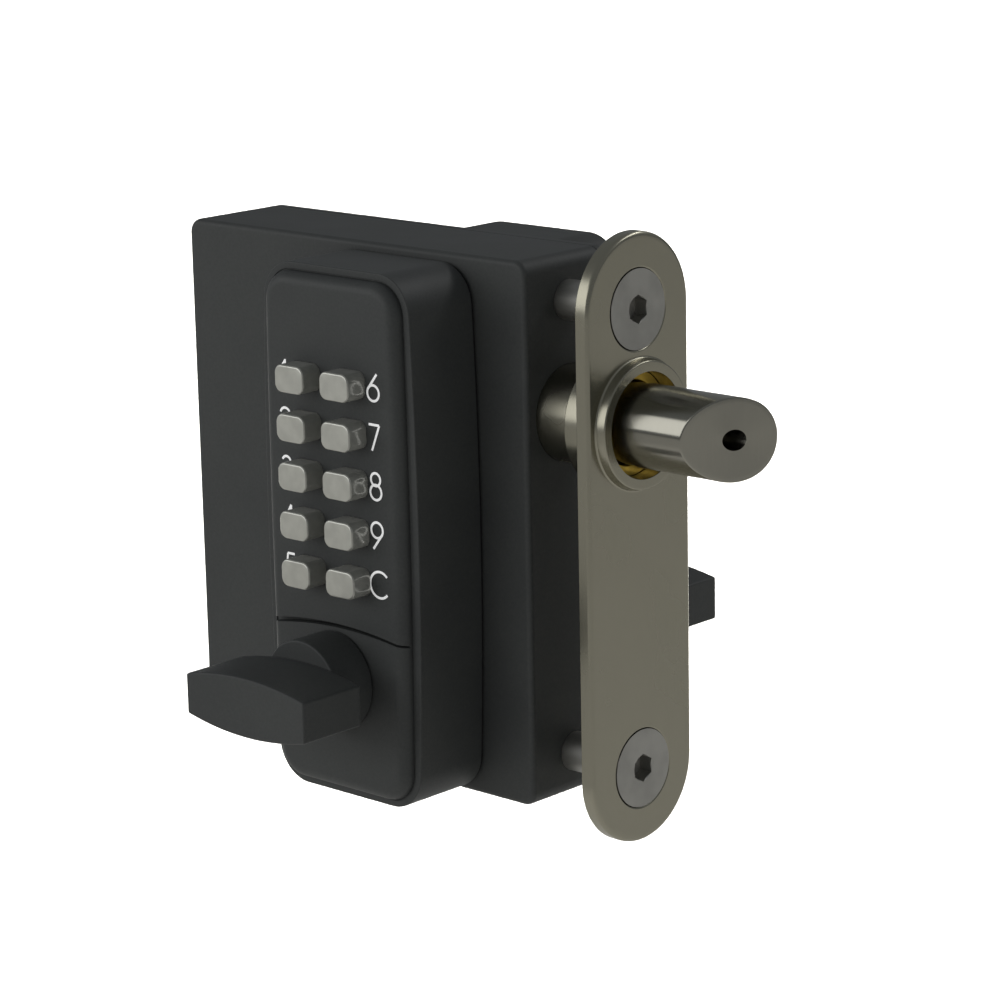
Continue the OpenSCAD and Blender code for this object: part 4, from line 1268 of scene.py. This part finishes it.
def sunk_screw(tip, face, head, shank, socket_depth):
    """Countersunk screw along Y whose hexagon socket is as wide as its shank's radius."""
    head_edge, tip_edge, sides = 0.12, 0.5, 72
    corners = [(face, 1), (face, head, head_edge, 3), (face - head + shank, shank),
               (tip, shank, tip_edge), (tip, 0.8)]
    origin = Vector((0, 0, 0))
    body = turned(soften(corners), origin, "Y", sides=sides)
    floor = face - socket_depth
    bevel = [(face - 0.25, shank / 2 - 0.1), (face + 0.2, shank / 2 + 0.35)]
    drilled = [(floor - 0.6, 0.2), (floor + 0.05, shank / 2 - 0.1)]
    cutters = [prism(hexagon(shank), floor, face + OVER, origin, "Y"),
               turned(bevel, origin, "Y", sides=HOLE_SIDES),
               turned(drilled, origin, "Y", sides=HOLE_SIDES)]
    return combine(body, cutters, "DIFFERENCE")


def cover_screws():
    """The four screws of the case's cover."""
    sizes = sizes_of(settings().case)
    socket_depth = 1.2
    low, high = node_box("cover_screws")
    across, up = post_places()
    screw = sunk_screw(low.y, high.y, sizes.screw_head / 2, sizes.screw / 2, socket_depth)
    copies = repeat_piece(screw, 2, 2, (across[1] - across[0], up[1] - up[0]),
                          (across[0], 0, up[0]), finish("screw"))
    return place_piece(copies, "sunk_cover_screws", "lock", "screw", ("cover_screws",))


def through_bolts():
    """The two long screws that clamp both units to the case."""
    sizes = sizes_of(settings().case)
    socket_depth = 2.5
    low, high = node_box("through_bolts")
    lower, upper = fixing_axes()
    screw = sunk_screw(low.y, high.y, sizes.fixing_head / 2, sizes.fixing / 2, socket_depth)
    copies = repeat_piece(screw, 1, 2, (0, upper.z - lower.z), lower, finish("screw"))
    return place_piece(copies, "sunk_through_bolts", "lock", "screw", ("through_bolts",))


def forend_plate():
    """Round-ended plate with a rounded outer edge, two countersinks and the collar's hole."""
    sizes = sizes_of(settings().forend)
    low, high = node_box("forend_plate")
    width, height = high.y - low.y, high.z - low.z
    back_edge, mouth_edge, collar_gap = 0.15, 0.15, 0.1
    back_lid, lid = 1.5, 0.5
    profile = soften([(low.x, back_lid), (low.x, 0, back_edge), (high.x, 0, sizes.edge, FINE_STEPS),
                      (high.x, sizes.edge + lid)])

    def ring_at(along, inset):
        flat = stadium_outline(width - 2 * inset, height - 2 * inset)
        return [Vector((along, a, b)) for a, b in flat]

    plate = loft(profile, ring_at, "forend")
    collar = mouth(high.x, sizes.collar / 2 + collar_gap, mouth_edge, low.x - OVER)
    head, shank = sizes.screw_head / 2 + sizes.head_gap, sizes.screw / 2 + sizes.head_gap
    slope = (head - shank) / (high.x - low.x)
    worn, below = 0.12, 0.14
    sink = [(high.x + OVER, head + worn), (high.x, head + worn), (high.x - 0.05, head + 0.03),
            (high.x - below, head - below * slope), (low.x, shank), (low.x - OVER, shank)]
    cutters = [turned(collar, bolt_axis(), "X")]
    cutters += [turned(sink, axis, "X") for axis in forend_screw_axes()]
    combine(plate, cutters, "DIFFERENCE")
    return place_piece(plate, "round_ended_forend", "lock", "forend", ("forend_plate",))


def forend_screws():
    """Two countersunk screws, whose thinner part holds in the case."""
    sizes = sizes_of(settings().forend)
    low, high = node_box("forend_screws")
    _case_low, case_high = node_box("lock_case")
    head, shank, socket = sizes.screw_head / 2, sizes.screw / 2, sizes.socket / 2
    head_edge, tip_edge, socket_sides = 0.12, 0.6, 60
    corners = [(high.x, 1), (high.x, head, head_edge, 3), (0, shank), (case_high.x, shank),
               (case_high.x, sizes.thread / 2), (low.x, sizes.thread / 2, tip_edge), (low.x, 1)]
    origin = Vector((0, 0, 0))
    screw = turned(soften(corners), origin, "X")
    floor = high.x - sizes.socket_depth
    bevel = [(high.x - 0.2, socket), (high.x + 0.2, socket + 0.4)]
    drilled = [(floor - 1.0, 0.3), (floor + 0.05, socket - 0.1)]
    cutters = [prism(hexagon(sizes.socket), floor, high.x + OVER, origin, "X"),
               turned(bevel, origin, "X", sides=socket_sides),
               turned(drilled, origin, "X", sides=socket_sides)]
    combine(screw, cutters, "DIFFERENCE")
    lower, upper = forend_screw_axes()
    copies = repeat_piece(screw, 1, 2, (0, upper.z - lower.z), lower, finish("screw"))
    return place_piece(copies, "sunk_forend_screws", "lock", "screw", ("forend_screws",))


def guide_tube():
    """Tube that screws into the case, with the collar that stands out of the plate."""
    sizes = sizes_of(settings().forend)
    low, high = node_box("guide_tube")
    bush_low, _bush_high = node_box("bolt_bush")
    _plate_low, plate_high = node_box("forend_plate")
    shoulder = bush_low.x - 1
    fillet, lap = sizes.collar_foot, 0.1
    bolt_gap, end_edge, mouth_edge = 0.3, 0.4, 0.1
    foot = plate_high.x + PLAY
    outer, bore = sizes.collar / 2, sizes.collar_bore / 2
    inner = bolt_radius() + bolt_gap
    profile = soften([
        (low.x, inner, BURR), (low.x, sizes.tube / 2, end_edge), (shoulder, sizes.tube / 2),
        (shoulder, outer, BURR), (foot - lap, outer), (foot - lap, outer + fillet),
        (foot, outer + fillet), (foot, outer, fillet, 4),
        (high.x, outer - sizes.collar_taper, sizes.collar_lip, 4), (high.x, bore, mouth_edge, 2),
        (bush_low.x, bore), (bush_low.x, inner)])
    piece = turned(profile, bolt_axis(), "X", closed=True, sides=FINE_SIDES)
    return place_piece(piece, "collar_tube", "lock", "forend", ("guide_tube",))


def bolt_bush():
    """Brass bush in the collar, with a rounded mouth for the bolt."""
    low, high = node_box("bolt_bush")
    radius, bore = (high.y - low.y) / 2, bolt_radius() + CLOSE
    edge, mouth_edge = 0.15, 0.35
    profile = soften([(low.x, radius, edge), (high.x, radius, edge), (high.x, bore, mouth_edge),
                      (low.x, bore, BURR)])
    piece = turned(profile, bolt_axis(), "X", closed=True, sides=FINE_SIDES)
    return place_piece(piece, "brass_bush", "lock", "brass", ("bolt_bush",))


def bolt():
    """Round bolt with a bevelled end, a centre hole, the carriage's slot and its cross hole."""
    sizes = sizes_of(settings().bolt)
    low, high = node_box("bolt")
    _tube_low, tube_high = node_box("guide_tube")
    axis = bolt_axis()
    radius = bolt_radius()
    back_bevel, land_gap, land_slope = 0.5, 0.1, 0.2
    hole_point, slot_gap, hole_sides = 1.2, 0.3, 64
    land = tube_high.x + land_gap
    thin = radius - sizes.relief
    steps, rings = 5, 9

    def bulge(across):
        """How far the curved end runs ahead of its place on the axis."""
        side = across - sizes.nose * math.sin(sizes.bevel)
        return math.sqrt(sizes.nose ** 2 - side ** 2) - sizes.nose * math.cos(sizes.bevel)

    def ring_at(along, reach):
        bulging, radial = reach
        flat = circle_outline(radial, FINE_SIDES)
        return [axis + Vector((along + bulging * bulge(a), a, b)) for a, b in flat]

    nose = high.x - bulge(radius)
    profile = [(low.x, (0, thin - back_bevel)), (low.x + back_bevel, (0, thin)),
               (land, (0, thin)), (land + land_slope, (0, radius))]
    for i in range(steps + 1):
        turn = math.pi / 2 * i / steps
        inset = sizes.edge * (1 - math.cos(turn))
        back = sizes.edge * (1 - math.sin(turn))
        profile.append((nose - back, (1, radius - inset)))
    inner = radius - sizes.edge
    profile += [(nose, (1, inner * (1 - i / rings))) for i in range(1, rings)]
    bar = loft(profile, ring_at, "bolt_bar")
    hole = sizes.hole / 2
    depth = nose - sizes.hole_depth
    drilled = [(depth - hole_point, 0.2), (depth, hole), (high.x + OVER, hole)]
    cutters = [turned(drilled, axis, "X", sides=hole_sides)]
    carriage_low, carriage_high = node_box("bolt_carriage")
    half, reach = sizes.slot / 2, radius + OVER
    cutters.append(block((low.x - OVER, -half, axis.z - reach),
                         (carriage_high.x + slot_gap, half, axis.z + reach)))
    cross = Vector(((carriage_low.x + carriage_high.x) / 2, 0, axis.z))
    cutters.append(rod("Y", cross, -reach, reach, sizes.pin / 2))
    combine(bar, cutters, "DIFFERENCE")
    return place_piece(bar, "bevelled_bolt", "bolt_unit", "bolt", ("bolt",))


def shorten(piece):
    """Gives the spring a mesh of its own."""
    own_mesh(piece)


def springs():
    """Bolt spring, code slide spring and the ten button springs."""
    sizes = sizes_of(settings().spring)
    steel = finish("spring")
    low, high = node_box("bolt_spring")
    wire, span = sizes.bolt_wire, high.x - low.x
    piece = coil((high.z - low.z - wire) / 2, wire, span - wire, sizes.bolt_turns, steel)
    turn = Matrix.Rotation(math.pi / 2, 4, "Y")
    piece.data.transform(Matrix.Translation((low.x + wire / 2, 0, bolt_axis().z)) @ turn)
    place_piece(piece, "bolt_coil", "lock", "spring", ("bolt_spring",))
    shorten(piece)
    low, high = node_box("slide_spring")
    wire, span = sizes.slide_wire, high.z - low.z
    piece = coil((high.x - low.x - wire) / 2, wire, span - wire, sizes.slide_turns, steel)
    middle = (low + high) / 2
    piece.data.transform(Matrix.Translation((middle.x, middle.y, low.z + wire / 2)))
    place_piece(piece, "slide_coil", "lock", "spring", ("slide_spring",))
    shorten(piece)
    low, high = node_box("button_springs")
    wire, span = sizes.button_wire, high.y - low.y
    places = button_places()
    radius = high.x - max(x for x, _z in places.values()) - wire / 2
    turn = Matrix.Rotation(-math.pi / 2, 4, "X")
    for digit, (x, z) in places.items():
        piece = coil(radius, wire, span - wire, sizes.button_turns, steel)
        piece.data.transform(Matrix.Translation((x, low.y + wire / 2, z)) @ turn)
        place_piece(piece, "button_coil_" + digit, "lock", "spring", ("button_springs",))
        shorten(piece)


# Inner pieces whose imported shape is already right, with the finish that each gets
INNER_FINISHES = {
    "brass": ("front_bush", "rear_bush", "drive_roller", "clutch_hub"),
    "zinc": ("spring_rod", "bolt_carriage", "follower", "front_spindle", "rear_spindle",
             "keypad_plate", "rear_plate", "code_slide"),
    "die_cast": ("code_chamber", "knob_driver"),
    "screw": ("chamber_screws",),
    "bolt": ("carriage_pin", "drive_pin", "clutch_ball"),
    "spring": ("front_circlip", "rear_circlip"),
}


def dress_inner_pieces():
    for name, nodes in INNER_FINISHES.items():
        for node in nodes:
            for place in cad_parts[node].material_slots:
                place.material = finish(name)


# Stage


def area_light(name, place, target, size, power):
    """Soft light at a place in metres that shines towards a target."""
    lamp = bpy.data.lights.new(name, "AREA")
    lamp.shape = "RECTANGLE"
    lamp.size, lamp.size_y = size
    lamp.energy = power
    holder = bpy.data.objects.new(name, lamp)
    bpy.context.scene.collection.objects.link(holder)
    holder.location = place
    holder.rotation_mode = "QUATERNION"
    holder.rotation_quaternion = (Vector(target) - Vector(place)).to_track_quat("-Z", "Y")
    return holder


def camera():
    """Camera at the photograph's place: its lens and the angles were solved from the lock's edges.
    Its colours are left as the lights give them."""
    lens = 123.7
    place = Vector((0.4235, -0.4931, 0.1650))
    right = Vector((0.7361, 0.6765, -0.0200))
    back = Vector((0.6613, -0.7126, 0.2342)).normalized()
    up = back.cross(right).normalized()
    right = up.cross(back)
    data = bpy.data.cameras.new("camera")
    data.lens = lens
    data.sensor_width = 36.0
    data.clip_start = 0.01
    data.clip_end = 100.0
    holder = bpy.data.objects.new("camera", data)
    bpy.context.scene.collection.objects.link(holder)
    turn = Matrix((right, up, back)).transposed().to_4x4()
    holder.matrix_world = Matrix.Translation(place) @ turn
    bpy.context.scene.camera = holder
    bpy.context.scene.view_settings.view_transform = "Standard"


def floor():
    """Pale floor, a metre below the lock as under a real gate, so that no hard shadow meets it."""
    size, drop, thick = 16.0, -1.0, 0.02
    low = (-size, -size, drop - thick)
    high = (size, size, drop)
    slab = block([v / MM for v in low], [v / MM for v in high], "floor")
    slab.data.transform(Matrix.Scale(MM, 4))
    made = new_finish("pale_floor", Specular_IOR_Level=0.2)
    tree, shader = made.tree, made.shader
    clouds = grain(tree, 900.0)
    pale = settings().colours.floor
    link(tree, blend_colours(tree, clouds, shaded(pale, 0.97), pale), shader, "Base Color")
    link(tree, spread(tree, clouds, 0.85, 0.95), shader, "Roughness")
    slab.data.materials.append(made.material)


def lights():
    """A broad softbox at the front left, a strip above and behind that draws the bright lines on
    the metal's edges, and two lamps that light only the floor. One lies below the lock's level,
    for a pale floor that its metal mirrors, and the other's narrow beam falls behind the lock, for
    a white ground."""
    world = bpy.data.worlds.new("studio")
    bpy.context.scene.world = world
    world.use_nodes = True
    sky = world.node_tree.nodes["Background"]
    sky.inputs["Color"].default_value = (0.93, 0.97, 1.0, 1)
    sky.inputs["Strength"].default_value = 0.21
    area_light("front_soft", place=(-1.0, -1.6, 0.62), target=(-0.03, 0, 0), size=(2.8, 1.15), power=15)
    area_light("edge_light", place=(0.75, 1.9, 1.8), target=(0, 0, 0), size=(2.2, 0.18), power=12)
    area_light("floor_all", place=(0, 0, -0.25), target=(0, 0, -1), size=(16, 16), power=290)
    behind = area_light("floor_behind", place=(-5.6, 5.9, 2.2), target=(-5.6, 5.9, -1),
                        size=(11.5, 5.0), power=520)
    beam, heading = math.radians(50), math.radians(133)
    behind.data.spread = beam
    behind.rotation_mode = "XYZ"
    behind.rotation_euler = (0, 0, heading)


# Operators


class BuildStep:
    """What all the steps share: each calls its builders in turn."""

    def execute(self, context):
        for build in self.builders:
            build()
        return {"FINISHED"}


class LOCK_OT_castings(BuildStep, bpy.types.Operator):
    """Build the front and the rear casting"""

    bl_idname = "gate_lock.castings"
    bl_label = "Castings"
    builders = (front_casting, rear_casting)


class LOCK_OT_gaskets(BuildStep, bpy.types.Operator):
    """Build both gaskets"""

    bl_idname = "gate_lock.gaskets"
    bl_label = "Gaskets"
    builders = (lambda: gasket(FRONT), lambda: gasket(REAR))


class LOCK_OT_buttons(BuildStep, bpy.types.Operator):
    """Build the ten buttons"""

    bl_idname = "gate_lock.buttons"
    bl_label = "Buttons"
    builders = (buttons,)


class LOCK_OT_digits(BuildStep, bpy.types.Operator):
    """Paint the digits beside the buttons"""

    bl_idname = "gate_lock.digits"
    bl_label = "Digits"
    builders = (digits,)


class LOCK_OT_knobs(BuildStep, bpy.types.Operator):
    """Build the front and the rear knob"""

    bl_idname = "gate_lock.knobs"
    bl_label = "Knobs"
    builders = (lambda: knob(FRONT), lambda: knob(REAR))


class LOCK_OT_case(BuildStep, bpy.types.Operator):
    """Build the lock case, its cover and the cover's screws"""

    bl_idname = "gate_lock.case"
    bl_label = "Lock case"
    builders = (lock_case, case_cover, cover_screws)


class LOCK_OT_through_bolts(BuildStep, bpy.types.Operator):
    """Build the two bolts that clamp the units to the case"""

    bl_idname = "gate_lock.through_bolts"
    bl_label = "Through bolts"
    builders = (through_bolts,)


class LOCK_OT_forend(BuildStep, bpy.types.Operator):
    """Build the forend plate, its screws, the guide tube and the brass bush"""

    bl_idname = "gate_lock.forend"
    bl_label = "Forend"
    builders = (forend_plate, forend_screws, guide_tube, bolt_bush)


class LOCK_OT_bolt(BuildStep, bpy.types.Operator):
    """Build the bevelled bolt"""

    bl_idname = "gate_lock.bolt"
    bl_label = "Bolt"
    builders = (bolt,)


class LOCK_OT_springs(BuildStep, bpy.types.Operator):
    """Build the coil springs"""

    bl_idname = "gate_lock.springs"
    bl_label = "Springs"
    builders = (springs,)


class LOCK_OT_inner_finishes(BuildStep, bpy.types.Operator):
    """Give the inner pieces their finishes"""

    bl_idname = "gate_lock.inner_finishes"
    bl_label = "Inner finishes"
    builders = (dress_inner_pieces,)


class LOCK_OT_stage(BuildStep, bpy.types.Operator):
    """Set the camera, the floor and the lights"""

    bl_idname = "gate_lock.stage"
    bl_label = "Stage"
    builders = (camera, floor, lights)


STEPS = (LOCK_OT_stage, LOCK_OT_castings, LOCK_OT_gaskets, LOCK_OT_buttons, LOCK_OT_digits,
         LOCK_OT_knobs, LOCK_OT_case, LOCK_OT_through_bolts, LOCK_OT_forend, LOCK_OT_bolt,
         LOCK_OT_springs, LOCK_OT_inner_finishes)


class LOCK_PT_panel(bpy.types.Panel):
    """The lock's steps and its settings"""

    bl_idname = "LOCK_PT_panel"
    bl_label = "Keypad gate lock"
    bl_space_type = "VIEW_3D"
    bl_region_type = "UI"
    bl_category = "Gate lock"

    def draw(self, context):
        for step in STEPS:
            self.layout.operator(step.bl_idname)
        for name in LockSettings.__annotations__:
            group = getattr(context.scene.gate_lock, name)
            box = self.layout.box()
            box.label(text=name.capitalize())
            for value in type(group).__annotations__:
                box.prop(group, value)


GROUPS = (CastingSizes, ButtonSizes, KnobSizes, CaseSizes, ForendSizes, BoltSizes, SpringSizes,
          FinishColours, LockSettings)


def register():
    for kind in (*GROUPS, *STEPS, LOCK_PT_panel):
        bpy.utils.register_class(kind)
    bpy.types.Scene.gate_lock = bpy.props.PointerProperty(type=LockSettings)


def unregister():
    del bpy.types.Scene.gate_lock
    for kind in reversed((*GROUPS, *STEPS, LOCK_PT_panel)):
        bpy.utils.unregister_class(kind)


def main():
    register()
    for step in STEPS:
        group, name = step.bl_idname.split(".")
        getattr(getattr(bpy.ops, group), name)()


if __name__ == "__main__":
    main()
